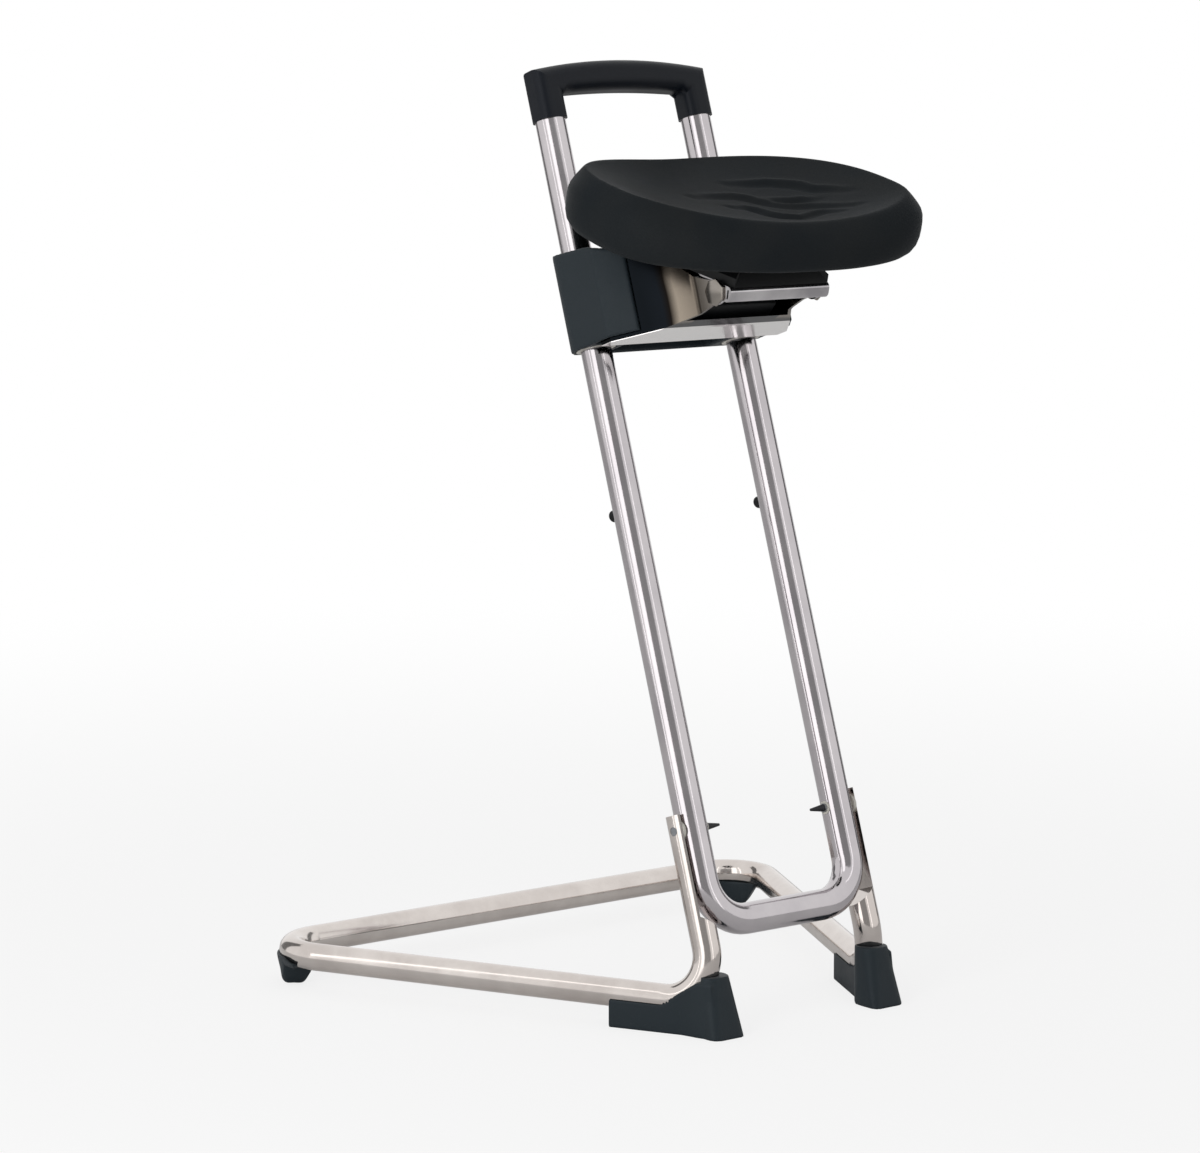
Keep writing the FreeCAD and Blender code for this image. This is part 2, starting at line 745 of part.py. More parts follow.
def handle_shape():
    """The moulding, its long edges rounded, with a plug and a screw's pilot hole in each leg."""
    slab = handle_front()
    half_thickness = float(d.handle_thickness) / 2
    upper_edges = [edge for edge in slab.Edges if edge.BoundBox.ZMax > float(d.mast_top) + PAST]
    face_edges = [edge for edge in upper_edges if edge.BoundBox.YLength < 0.01]
    solid = slab.makeFillet(float(d.handle_edge_radius), face_edges)
    plug_radius = mast_radius - d.mast_wall - d.press_clearance
    for name, side in SIDES:
        solid = solid.fuse(mast_rod(side, plug_radius, d.mast_top - d.handle_plug_length, d.mast_top + PAST))
        hole_start = V(side * half_spacing.value, 0, handle_screw_distance.value)
        solid = solid.cut(Part.makeCylinder(float(d.screw_diameter) / 2, half_thickness, hole_start, Y_AXIS))
    return solid


feature("handle", handle_shape(), MAST_FRAME)

handle_screw_solids = []
for name, side in SIDES:
    seat_point = V(side * half_spacing.value, mast_radius.value, handle_screw_distance.value)
    handle_screw_solids.append(screw(seat_point, -Y_AXIS, float(mast_radius - d.handle_screw_gap)))
feature("handle_screws", Part.makeCompound(handle_screw_solids), MAST_FRAME)

# Carriage housing: one moulding round both tubes, its sides drawn in towards the front

housing_half = half_spacing + mast_radius + d.housing_margin
housing_rear = mast_radius + d.housing_margin
side_wall = housing_half - d.housing_wall
mouth_half = housing_half - d.housing_side_taper
taper_angle = math.atan2(float(d.housing_side_taper), float(d.housing_mouth - d.housing_side_length))
corner_shift = math.tan(taper_angle / 2)
wall_shift = d.housing_wall * corner_shift
housing = new_body("carriage_housing", MAST_FRAME)
plan = new_sketch(housing, "housing_plan", "XY_Plane", d.housing_bottom)
right_half = [(d.housing_block_half, housing_rear - d.housing_wall), (d.housing_block_half, -housing_rear)]
right_half += [(side_wall, -housing_rear), (side_wall, wall_shift - d.housing_side_length)]
right_half += [(mouth_half - d.housing_wall, wall_shift - d.housing_mouth), (mouth_half, -d.housing_mouth)]
right_half += [(housing_half, -d.housing_side_length), (housing_half, housing_rear)]
left_half = [(-x, y) for x, y in reversed(right_half)]
outline(plan, right_half + left_half)
pad(housing, plan, d.housing_top - d.housing_bottom)


def outer_corner(edge):
    return is_along(edge, Z_AXIS) and edge.BoundBox.YMin > float(housing_rear) - 0.1


fillet(housing, d.housing_corner_radius, outer_corner)
side_view = new_sketch(housing, "housing_top_cut", "YZ_Plane")
roof = d.housing_top + PAST
slope_start = d.housing_top - d.housing_top_drop
top_line = [(housing_rear + PAST, d.housing_top), (-d.housing_slope_start, slope_start)]
top_line += [(-d.housing_mouth - PAST, slope_start - d.housing_mouth_drop), (-d.housing_mouth - PAST, roof)]
top_line += [(housing_rear + PAST, roof)]
outline(side_view, top_line)
pocket(housing, side_view, (housing_half + PAST) * 2, midplane=True)
bores = new_sketch(housing, "housing_bores", "XY_Plane", d.housing_bottom)
bush_radius = mast_radius + d.bush_wall
for name, side in SIDES:
    circle(bores, (half_spacing if side > 0 else -half_spacing, 0), bush_radius + d.press_clearance)
pocket(housing, bores, d.housing_top - d.housing_bottom, backward=True)
brake_height = (d.housing_bottom + d.housing_top) / 2
windows = new_sketch(housing, "brake_windows", "XZ_Plane")
window_half = d.brake_pad_width / 2 + d.brake_window_play
window_reach = d.brake_pad_height / 2 + d.brake_window_play
for name, side in SIDES:
    near = half_spacing - window_half if side > 0 else -half_spacing - window_half
    far = near + window_half * 2
    low, high = brake_height - window_reach, brake_height + window_reach
    outline(windows, [(near, low), (far, low), (far, high), (near, high)])
pocket(housing, windows, housing_rear + PAST, backward=True)
bosses = new_sketch(housing, "screw_bosses", "XZ_Plane", housing_rear)
boss_places = []
for name, side in SIDES:
    for height in (d.housing_bottom + d.boss_inset, slope_start - d.boss_inset):
        boss_places.append((d.boss_side if side > 0 else -d.boss_side, height))
for place in boss_places:
    circle(bosses, place, d.boss_diameter / 2)
pad(housing, bosses, d.bracket_back - housing_rear)
pilots = new_sketch(housing, "screw_pilots", "XZ_Plane", housing_rear)
for place in boss_places:
    circle(pilots, place, d.screw_diameter / 2)
pocket(housing, pilots, d.bracket_back - housing_rear, backward=True)

# Sliding bushes: one at each end of both bores

upper_bush = slope_start - d.bush_length - d.bush_inset
for name, side in SIDES:
    for level, height in (("upper", upper_bush), ("lower", d.housing_bottom)):
        label = "%s_%s_bush" % (name, level)
        start = on_mast(side * half_spacing.value, 0, height)
        keep(ring(label, bush_radius, mast_radius + d.running_clearance, d.bush_length, start, ALONG), label)

# Bracket: a plate bent back to two cheeks that leave the housing and end beside the seat's axle

cheek_outer = d.cheek_spacing / 2
cheek_root = side_wall - d.seat_clearance
cheek_run = (cheek_root - cheek_outer) / math.tan(taper_angle)
inner_shift = d.plate_thickness * corner_shift
bend_place = d.housing_side_length - wall_shift
cheek_front = d.tilt_axle_forward + d.cheek_nose_radius
bracket = new_body("carriage_bracket", MAST_FRAME)
bracket_plan = new_sketch(bracket, "bracket_plan", "XY_Plane", d.bracket_bottom)
half_plan = [(cheek_root, -d.bracket_back), (cheek_root, -bend_place)]
half_plan += [(cheek_outer, -bend_place - cheek_run), (cheek_outer, -cheek_front)]
half_plan += [(cheek_outer - d.plate_thickness, -cheek_front)]
half_plan += [(cheek_outer - d.plate_thickness, inner_shift - bend_place - cheek_run)]
half_plan += [(cheek_root - d.plate_thickness, inner_shift - bend_place)]
half_plan += [(cheek_root - d.plate_thickness, -d.bracket_back - d.plate_thickness)]
other_half = [(-x, y) for x, y in reversed(half_plan)]
outline(bracket_plan, half_plan + other_half)
bracket_top = slope_start - d.bracket_top_drop
pad(bracket, bracket_plan, bracket_top - d.bracket_bottom)
floor_front = bend_place + cheek_run


def inner_bend(edge):
    place = edge.BoundBox
    at_bend = place.YMin < float(d.plate_thickness - floor_front)
    return is_along(edge, Z_AXIS) and at_bend and abs(place.XMin) < float(cheek_outer) - PAST


def outer_bend(edge):
    place = edge.BoundBox
    return is_along(edge, Z_AXIS) and abs(place.YMin + float(floor_front)) < 0.1


def front_end(edge):
    return edge.BoundBox.YMax < 0.1 - float(cheek_front)


fillet(bracket, d.cheek_bend_radius, lambda edge: inner_bend(edge) and not front_end(edge))
fillet(bracket, d.cheek_bend_radius + d.plate_thickness, outer_bend)
floor_plan = new_sketch(bracket, "bracket_floor", "XY_Plane", d.bracket_bottom)
floor_half = d.plate_thickness / 2
floor_points = [(cheek_root - floor_half, -d.bracket_back - floor_half), (cheek_root - floor_half, -bend_place)]
floor_points += [(cheek_outer - floor_half, -floor_front)]
outline(floor_plan, floor_points + [(-x, y) for x, y in reversed(floor_points)])
pad(bracket, floor_plan, d.plate_thickness)
front_cut = new_sketch(bracket, "cheek_underside", "YZ_Plane")
under = d.bracket_bottom - PAST
nose_low = d.tilt_axle_distance - d.cheek_nose_radius
outline(front_cut, [(-d.cheek_corner_start, under), (-d.cheek_corner_start, d.bracket_bottom),
                    (-d.cheek_corner_end, nose_low), (-cheek_front - PAST, nose_low),
                    (-cheek_front - PAST, under)])
pocket(bracket, front_cut, d.base_width, midplane=True)
top_cut = new_sketch(bracket, "cheek_top", "YZ_Plane")
nose_high = d.tilt_axle_distance + d.cheek_nose_radius
over = bracket_top + PAST
outline(top_cut, [(-cheek_front - PAST, over), (-cheek_front - PAST, nose_high),
                  (-d.tilt_axle_forward, nose_high),
                  (-floor_front, nose_high + d.cheek_top_rise),
                  (-floor_front + d.cheek_step_run, nose_high + d.cheek_step_rise),
                  (-d.housing_mouth, slope_start - d.housing_mouth_drop), (-d.bracket_back, bracket_top),
                  (-d.bracket_back, over)])
pocket(bracket, top_cut, d.base_width, midplane=True)


def nose_corner(edge):
    return is_along(edge, X_AXIS) and edge.BoundBox.YMax < 0.1 - float(cheek_front)


fillet(bracket, d.cheek_nose_radius - d.cheek_nose_flat, nose_corner)
axle_bore = new_sketch(bracket, "axle_bore", "YZ_Plane")
axle_radius = d.tilt_axle_diameter / 2
circle(axle_bore, (-d.tilt_axle_forward, d.tilt_axle_distance), axle_radius + d.press_clearance)
pocket(bracket, axle_bore, d.base_width, midplane=True)
screw_bores = new_sketch(bracket, "screw_bores", "XZ_Plane", d.bracket_back)
guide_places = [(d.brake_guide_spacing / 2, brake_height), (-d.brake_guide_spacing / 2, brake_height)]
guide_radius = d.brake_guide_diameter / 2
for place in boss_places:
    circle(screw_bores, place, d.screw_diameter / 2 + d.press_clearance)
for place in guide_places:
    circle(screw_bores, place, guide_radius + d.press_clearance)
pocket(bracket, screw_bores, d.plate_thickness * 2, midplane=True)


def across_screws(places, start, length):
    """Screws driven backward through the bracket's back plate."""
    solids = []
    for x, height in places:
        solids.append(screw(V(float(x), -float(start), float(height)), Y_AXIS, float(length)))
    return Part.makeCompound(solids)


plate_front = d.bracket_back + d.plate_thickness
housing_screw_length = plate_front - housing_rear - d.brake_bar_gap
feature("housing_screws", across_screws(boss_places, plate_front, housing_screw_length), MAST_FRAME)

# Brake: a bar across both tubes with a pad for each, sliding on two studs

bar_rear = housing_rear + d.brake_bar_gap
bar_half = half_spacing + d.brake_bar_overhang
bar = new_body("brake_bar", MAST_FRAME)
bar_front_view = new_sketch(bar, "bar_outline", "XZ_Plane", bar_rear)
bar_low, bar_high = brake_height - d.brake_bar_height / 2, brake_height + d.brake_bar_height / 2
outline(bar_front_view, [(-bar_half, bar_low), (bar_half, bar_low),
                         (bar_half, bar_high), (-bar_half, bar_high)])
pad(bar, bar_front_view, d.brake_bar_thickness)
bar_bores = new_sketch(bar, "bar_bores", "XZ_Plane", bar_rear)
for place in guide_places:
    circle(bar_bores, place, guide_radius + d.running_clearance)
pocket(bar, bar_bores, d.brake_bar_thickness * 3, midplane=True)

for name, side in SIDES:
    block = Part.makeBox(float(d.brake_pad_width), float(bar_rear), float(d.brake_pad_height))
    x = side * half_spacing.value - float(d.brake_pad_width) / 2
    block.translate(V(x, -float(bar_rear), brake_height.value - float(d.brake_pad_height) / 2))
    tube = mast_rod(side, mast_radius + d.body_clearance, d.housing_bottom, d.housing_top)
    feature(name + "_brake_pad", one_solid(block.cut(tube)), MAST_FRAME)

guide_solids = []
for x, height in guide_places:
    start = V(float(x), -float(plate_front), float(height))
    guide_length = float(plate_front - housing_rear)
    guide_solids.append(Part.makeCylinder(float(guide_radius), guide_length, start, Y_AXIS))
feature("brake_guides", Part.makeCompound(guide_solids), MAST_FRAME)

# Tilt axle, its domed caps and its spring

ear_inner = cheek_outer + d.ear_play
ear_outer = ear_inner + d.plate_thickness
cap_inner = ear_outer + d.body_clearance
axle_half = cap_inner + d.axle_cap_height - d.axle_cap_floor
axle_start = TILT_CENTRE - X_AXIS * axle_half.value
keep(cylinder("tilt_axle", axle_radius, axle_half * 2, axle_start, X_AXIS), "tilt_axle")


def axle_cap(side):
    height, radius = float(d.axle_cap_height), float(d.axle_cap_diameter) / 2
    start = V(side * cap_inner.value, 0, 0)
    disc = Part.makeCylinder(radius, height, start, X_AXIS * side)
    rim = [edge for edge in disc.Edges if abs(edge.CenterOfMass.x - side * (cap_inner.value + height)) < 0.01]
    disc = disc.makeFillet(float(d.axle_cap_rounding), rim)
    bore_length = axle_half.value - cap_inner.value
    bore_radius = float(axle_radius + d.press_clearance)
    return disc.cut(Part.makeCylinder(bore_radius, bore_length, start, X_AXIS * side))


feature("axle_caps", Part.makeCompound([axle_cap(side) for name, side in SIDES]), SEAT_FRAME)


def coil_path(radius, pitch, turns):
    """A helix about the axle, drawn as an arc for each half turn."""
    edges = []

    def at(angle):
        x = pitch * (angle / (2 * math.pi) - turns / 2)
        return V(x, radius * math.cos(angle), radius * math.sin(angle))

    for half_turn in range(int(round(turns * 2))):
        start = half_turn * math.pi
        arc = Part.Arc(at(start), at(start + math.pi / 2), at(start + math.pi))
        edges.append(arc.toShape())
    return Part.Wire(edges)


spring_radius = axle_radius + d.body_clearance + d.spring_wire / 2
spring_path = coil_path(spring_radius.value, float(d.spring_pitch), float(d.spring_turns))
feature("tilt_spring", swept_rod(spring_path, float(d.spring_wire) / 2), SEAT_FRAME)
coil_points = spring_path.discretize(SPRING_POINTS)
turn_points = int(SPRING_POINTS / float(d.spring_turns))
gaps = [first.distanceToPoint(other) for index, first in enumerate(coil_points)
        for other in coil_points[index + turn_points // 2:]]
print("tilt_spring's least gap to itself: %.2f mm" % (min(gaps) - float(d.spring_wire)))

# Seat bracket: a tray with a rolled front lip and two ears on the axle

tray = new_body("seat_bracket", SEAT_FRAME)
tray_profile = new_sketch(tray, "tray_profile", "YZ_Plane")
tray_low = d.tray_rise - d.tray_lip
tray_under = d.tray_rise - d.plate_thickness
lip_inner = d.plate_thickness - d.tray_front
outline(tray_profile, [(-d.tray_front, d.tray_rise), (d.tray_rear, d.tray_rise), (d.tray_rear, tray_under),
                       (lip_inner, tray_under), (lip_inner, tray_low + d.plate_thickness),
                       (d.tray_return - d.tray_front, tray_low + d.plate_thickness),
                       (d.tray_return - d.tray_front, tray_low), (-d.tray_front, tray_low)])
pad(tray, tray_profile, ear_outer * 2, midplane=True)


def lip_edge(edge):
    box = edge.BoundBox
    return is_along(edge, X_AXIS) and box.YMax < 0.1 - float(d.tray_front)


fillet(tray, d.tray_edge_radius, lip_edge)
slots = new_sketch(tray, "cheek_slots", "XY_Plane")
slot_inner = cheek_outer - d.plate_thickness - d.slot_play
slot_front = -d.cheek_nose_radius - d.slot_play * 2
for sign in (1, -1):
    near = slot_inner if sign > 0 else -slot_inner
    far = ear_outer + PAST if sign > 0 else -ear_outer - PAST
    slot_back = d.tray_rear + PAST
    outline(slots, [(near, slot_front), (far, slot_front), (far, slot_back), (near, slot_back)])
pocket(tray, slots, d.tray_rear, midplane=True)
window = new_sketch(tray, "spring_window", "XY_Plane")
window_side = d.spring_pitch * d.spring_turns / 2 + d.spring_wire * 2
window_depth = spring_radius + d.spring_wire
outline(window, [(-window_side, -window_depth), (window_side, -window_depth),
                 (window_side, window_depth), (-window_side, window_depth)])
pocket(tray, window, (d.tray_rise + PAST) * 2, midplane=True)
for name, side in SIDES:
    ear = new_sketch(tray, name + "_ear", "YZ_Plane", ear_inner if side > 0 else -ear_outer)
    outline(ear, [(-d.tray_front + d.tray_edge_radius, tray_low), (0, tray_low), (0, d.tray_rise),
                  (-d.tray_front + d.tray_edge_radius, d.tray_rise)])
    pad(tray, ear, d.plate_thickness)
    knuckle = new_sketch(tray, name + "_knuckle", "YZ_Plane", ear_inner if side > 0 else -ear_outer)
    circle(knuckle, (0, 0), d.ear_radius)
    pad(tray, knuckle, d.plate_thickness)
bush_bore = new_sketch(tray, "bush_bore", "YZ_Plane")
tilt_bush_radius = axle_radius + d.running_clearance + d.tilt_bush_wall
circle(bush_bore, (0, 0), tilt_bush_radius + d.press_clearance)
pocket(tray, bush_bore, (ear_outer + PAST) * 2, midplane=True)
seat_screw_places = []
for x in (-d.seat_screw_side, d.seat_screw_side):
    for y in (d.seat_screw_front, d.seat_screw_rear):
        seat_screw_places.append((x, y))
tray_bores = new_sketch(tray, "tray_bores", "XY_Plane", d.tray_rise)
for place in seat_screw_places:
    circle(tray_bores, place, d.screw_diameter / 2 + d.press_clearance)
pocket(tray, tray_bores, d.plate_thickness * 2, midplane=True)

for name, side in SIDES:
    start = V(side * float(cheek_outer + d.tilt_bush_play), 0, 0)
    barrel_length = float(ear_outer - cheek_outer - d.tilt_bush_play)
    barrel = Part.makeCylinder(float(tilt_bush_radius), barrel_length, start, X_AXIS * side)
    flange_radius = float(tilt_bush_radius + d.tilt_bush_wall)
    flange = Part.makeCylinder(flange_radius, float(d.tilt_bush_flange), start, X_AXIS * side)
    bore_radius = float(axle_radius + d.running_clearance)
    bore = Part.makeCylinder(bore_radius, float(ear_outer), V(0, 0, 0), X_AXIS * side)
    feature(name + "_tilt_bush", barrel.fuse(flange).cut(bore), SEAT_FRAME)

# Seat pan: a moulded plate in the cushion's underside on a pedestal that stands on the tray

half_width = d.seat_width / 2
half_depth = d.seat_depth / 2
pan = new_body("seat_pan", SEAT_FRAME)
pedestal = new_sketch(pan, "pedestal_front", "XZ_Plane", d.tray_front)
pedestal_half = d.pedestal_width / 2
pedestal_knee = d.tray_rise + (d.seat_rise - d.tray_rise) / 3
pedestal_upper = pedestal_half - d.pedestal_taper
outline(pedestal, [(-pedestal_half, d.tray_rise), (pedestal_half, d.tray_rise), (pedestal_half, pedestal_knee),
                   (pedestal_upper, d.seat_rise), (-pedestal_upper, d.seat_rise),
                   (-pedestal_half, pedestal_knee)])
pad(pan, pedestal, d.tray_front + d.tray_rear - d.pedestal_setback, backward=True)
pan_plate = new_sketch(pan, "pan_plate", "XY_Plane", d.seat_rise)
pan_x, pan_y = half_width - d.pan_inset, half_depth - d.pan_inset
pan_front, pan_back = d.seat_centre - pan_y, d.seat_centre + pan_y
outline(pan_plate, [(-pan_x, pan_front), (pan_x, pan_front), (pan_x, pan_back), (-pan_x, pan_back)])
pad(pan, pan_plate, d.pan_thickness)


def pan_corner(edge):
    return is_along(edge, Z_AXIS) and abs(edge.BoundBox.XMax) > float(pan_x) - PAST


fillet(pan, d.pan_corner_radius, pan_corner)
pan_pilots = new_sketch(pan, "pan_pilots", "XY_Plane", d.tray_rise)
for place in seat_screw_places:
    circle(pan_pilots, place, d.screw_diameter / 2)
pocket(pan, pan_pilots, d.seat_screw_length, backward=True)
seat_screw_solids = []
for x, y in seat_screw_places:
    seat_point = V(float(x), float(y), float(tray_under))
    seat_screw_solids.append(screw(seat_point, Z_AXIS, float(d.seat_screw_length)))
feature("seat_screws", Part.makeCompound(seat_screw_solids), SEAT_FRAME)

# Seat cushion: a plain pad of the cushion's outline and full height, moulded round the pan

cushion = doc.addObject("PartDesign::Body", "cushion_block")
cushion.Placement = SEAT_FRAME
cushion_plan = new_sketch(cushion, "cushion_plan", "XY_Plane", d.seat_rise)
seat_front = d.seat_centre - half_depth
seat_back = d.seat_centre + half_depth
front_half = half_width - d.seat_front_narrowing
back_half = half_width - d.seat_back_narrowing
outline(cushion_plan, [(-front_half, seat_front), (front_half, seat_front), (half_width, d.seat_centre),
                       (back_half, seat_back), (-back_half, seat_back), (-half_width, d.seat_centre)])
pad(cushion, cushion_plan, d.seat_height)


def at_front_or_back(edge):
    return is_along(edge, Z_AXIS) and abs(edge.BoundBox.YMin - float(d.seat_centre)) > float(half_depth) - PAST


def at_side(edge):
    return is_along(edge, Z_AXIS) and abs(edge.BoundBox.XMin) > float(half_width) - PAST


def at_rim(height):
    return lambda edge: edge.BoundBox.ZLength < 0.1 and abs(edge.BoundBox.ZMin - float(height)) < 0.1


fillet(cushion, d.seat_corner_radius, at_front_or_back)
fillet(cushion, d.seat_side_radius, at_side)
fillet(cushion, d.seat_top_rounding, at_rim(d.seat_rise + d.seat_height))
fillet(cushion, d.seat_bottom_rounding, at_rim(d.seat_rise))
keep(boolean("Cut", "seat_cushion", cushion, pan), "seat_cushion")

# Checks, then one file for each piece

doc.recompute()
for item in doc.Objects:
    if "Invalid" in item.State or "Error" in item.State:
        raise RuntimeError("%s has failed" % item.Label)
for item in nodes:
    if item.Shape.isNull() or not item.Shape.isValid() or not item.Shape.Solids:
        raise RuntimeError("%s has no valid solid" % item.Label)

os.makedirs("parts", exist_ok=True)
for item in nodes:
    item.Shape.exportStep("parts/%s.step" % item.Label)
    print("%-20s %d %10.0f" % (item.Label, len(item.Shape.Solids), item.Shape.Volume))
print(len(nodes), "nodes")
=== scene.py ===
import math

import bmesh
import bpy
from mathutils import Matrix, Vector


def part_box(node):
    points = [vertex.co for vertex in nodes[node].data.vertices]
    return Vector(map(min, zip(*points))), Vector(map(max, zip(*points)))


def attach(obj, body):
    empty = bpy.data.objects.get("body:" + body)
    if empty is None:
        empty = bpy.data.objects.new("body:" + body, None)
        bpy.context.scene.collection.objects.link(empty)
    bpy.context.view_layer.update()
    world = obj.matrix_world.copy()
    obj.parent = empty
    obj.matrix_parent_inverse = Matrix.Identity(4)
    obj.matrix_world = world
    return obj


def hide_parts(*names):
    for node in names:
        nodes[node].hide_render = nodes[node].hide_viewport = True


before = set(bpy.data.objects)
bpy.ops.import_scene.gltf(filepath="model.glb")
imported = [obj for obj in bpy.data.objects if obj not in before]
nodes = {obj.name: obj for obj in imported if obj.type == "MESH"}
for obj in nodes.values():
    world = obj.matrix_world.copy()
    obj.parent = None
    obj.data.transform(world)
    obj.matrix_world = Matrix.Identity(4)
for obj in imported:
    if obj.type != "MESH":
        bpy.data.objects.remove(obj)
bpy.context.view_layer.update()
bpy.ops.object.select_all(action="DESELECT")

# The camera stands to the sitter's right and in front, a little above the seat, with a long lens, as the
# photographer did. Its place and lens come from the stool's own measured corners.
CAMERA_PLACE = Vector((-2.3802, -2.8934, 0.8947))
VIEW_YAW = math.radians(38.569)
VIEW_PITCH = math.radians(7.837)
SENSOR_WIDTH = 36.0
LENS = 123.5
camera_data = bpy.data.cameras.new("studio_camera")
camera_data.sensor_fit = "HORIZONTAL"
camera_data.sensor_width = SENSOR_WIDTH
camera_data.lens = LENS
camera = bpy.data.objects.new("studio_camera", camera_data)
bpy.context.scene.collection.objects.link(camera)
camera.location = CAMERA_PLACE
camera.rotation_euler = (math.pi / 2 - VIEW_PITCH, 0, -VIEW_YAW)
bpy.context.scene.camera = camera


# Floor frame: one steel tube bent to a U, chrome plated after bending and pressed flat at its two front ends.
# The plating is bright with a warm cast low down, and the buffing before it leaves very fine scratches.
def linear(code):
    """A screen colour such as #8f8a8c as the linear colour that a shader reads."""
    parts = [int(code[place : place + 2], 16) / 255 for place in (1, 3, 5)]
    return tuple(c / 12.92 if c <= 0.04045 else ((c + 0.055) / 1.055) ** 2.4 for c in parts) + (1.0,)


def add(tree, kind, settings, links=()):
    """Add a node, give it its settings, and link outputs of other nodes to its inputs."""
    made = tree.nodes.new(kind)
    for name, value in settings.items():
        if isinstance(name, str) and hasattr(made, name):
            setattr(made, name, value)
        else:
            made.inputs[name].default_value = value
    for name, source, output in links:
        tree.links.new(source.outputs[output], made.inputs[name])
    return made


def new_material(name, colour, metallic, roughness):
    """A material with its tree and its shader, ready for more nodes."""
    made = bpy.data.materials.new(name)
    made.use_nodes = True
    shader = made.node_tree.nodes["Principled BSDF"]
    shader.inputs["Base Color"].default_value = linear(colour)
    shader.inputs["Metallic"].default_value = metallic
    shader.inputs["Roughness"].default_value = roughness
    return made, made.node_tree, shader


def chrome(name, colour, colour_dull, polish):
    """Decorative chrome: mirror bright, faintly clouded by handling, with buffing scratches under it."""
    CLOUD_SIZE = 0.06
    HAZE_LEAST = 0.8
    HAZE_MOST = 1.5
    SCRATCH_SPACING = 0.0012
    SCRATCH_DEPTH = 0.0002
    made, tree, shader = new_material(name, colour, 1.0, polish)
    place = add(tree, "ShaderNodeTexCoord", {})
    cloud = add(tree, "ShaderNodeTexNoise", {"Scale": 1 / CLOUD_SIZE, "Detail": 4.0, "Roughness": 0.6},
                [("Vector", place, "Object")])
    tint = add(tree, "ShaderNodeValToRGB", {}, [("Fac", cloud, "Fac")])
    tint.color_ramp.elements[0].position = 0.35
    tint.color_ramp.elements[0].color = linear(colour_dull)
    tint.color_ramp.elements[1].position = 0.65
    tint.color_ramp.elements[1].color = linear(colour)
    tree.links.new(tint.outputs["Color"], shader.inputs["Base Color"])
    haze = add(tree, "ShaderNodeMapRange",
               {"From Min": 0.3, "From Max": 0.7,
                "To Min": polish * HAZE_LEAST, "To Max": polish * HAZE_MOST},
               [("Value", cloud, "Fac")])
    tree.links.new(haze.outputs["Result"], shader.inputs["Roughness"])
    scratch = add(tree, "ShaderNodeTexNoise", {"Scale": 1 / SCRATCH_SPACING, "Detail": 2.0},
                  [("Vector", place, "Object")])
    relief = add(tree, "ShaderNodeBump", {"Strength": 0.03, "Distance": SCRATCH_DEPTH},
                 [("Height", scratch, "Fac")])
    tree.links.new(relief.outputs["Normal"], shader.inputs["Normal"])
    return made


def dress(finish, *names):
    """Give CAD pieces their finish."""
    for name in names:
        for slot in nodes[name].material_slots:
            slot.link = "OBJECT"
            slot.material = finish


floor_chrome = chrome("chrome_plated_floor_tube", "#dbd4cf", "#cac2bd", polish=0.12)
dress(floor_chrome, "base_tube")


# Boots and saddles: injection-moulded polypropylene in slate black, pushed on the tube's bends and screwed
# from below. The mould rounds every edge and its spark-eroded skin has a fine matte grain.
def moulded_plastic(name, colour, roughness, grain, depth, shine=0.35):
    """A moulded plastic with a spark-eroded grain and slight rub marks that lighten it."""
    RUB_SIZE = 0.05
    RUBBED = 0.06
    UNRUBBED = 0.08
    made, tree, shader = new_material(name, colour, 0.0, roughness)
    shader.inputs["Specular IOR Level"].default_value = shine
    place = add(tree, "ShaderNodeTexCoord", {})
    rub = add(tree, "ShaderNodeTexNoise", {"Scale": 1 / RUB_SIZE, "Detail": 6.0, "Roughness": 0.65},
              [("Vector", place, "Object")])
    worn = add(tree, "ShaderNodeMapRange",
               {"From Min": 0.35, "From Max": 0.75,
                "To Min": roughness - RUBBED, "To Max": roughness + UNRUBBED},
               [("Value", rub, "Fac")])
    tree.links.new(worn.outputs["Result"], shader.inputs["Roughness"])
    pits = add(tree, "ShaderNodeTexVoronoi", {"Scale": 1 / grain}, [("Vector", place, "Object")])
    relief = add(tree, "ShaderNodeBump", {"Strength": 0.25, "Distance": depth},
                 [("Height", pits, "Distance")])
    tree.links.new(relief.outputs["Normal"], shader.inputs["Normal"])
    return made


def rounded_copy(name, node, voxel, passes):
    """A copy of a CAD piece with its edges rounded all over, as a mould leaves them."""
    SAME_POINT = 1e-5
    piece = bpy.data.objects.new(name, nodes[node].data.copy())
    bpy.context.scene.collection.objects.link(piece)
    bpy.context.view_layer.objects.active = piece
    piece.select_set(True)
    bpy.ops.mesh.customdata_custom_splitnormals_clear()
    bpy.ops.object.mode_set(mode="EDIT")
    bpy.ops.mesh.select_all(action="SELECT")
    bpy.ops.mesh.remove_doubles(threshold=SAME_POINT)
    bpy.ops.mesh.normals_make_consistent(inside=False)
    bpy.ops.object.mode_set(mode="OBJECT")
    remesh = piece.modifiers.new("skin", "REMESH")
    remesh.mode = "VOXEL"
    remesh.voxel_size = voxel
    remesh.use_smooth_shade = True
    bpy.ops.object.modifier_apply(modifier="skin")
    relax = piece.modifiers.new("edges", "SMOOTH")
    relax.factor = 0.5
    relax.iterations = passes
    bpy.ops.object.modifier_apply(modifier="edges")
    bpy.ops.object.shade_smooth()
    piece.select_set(False)
    return piece


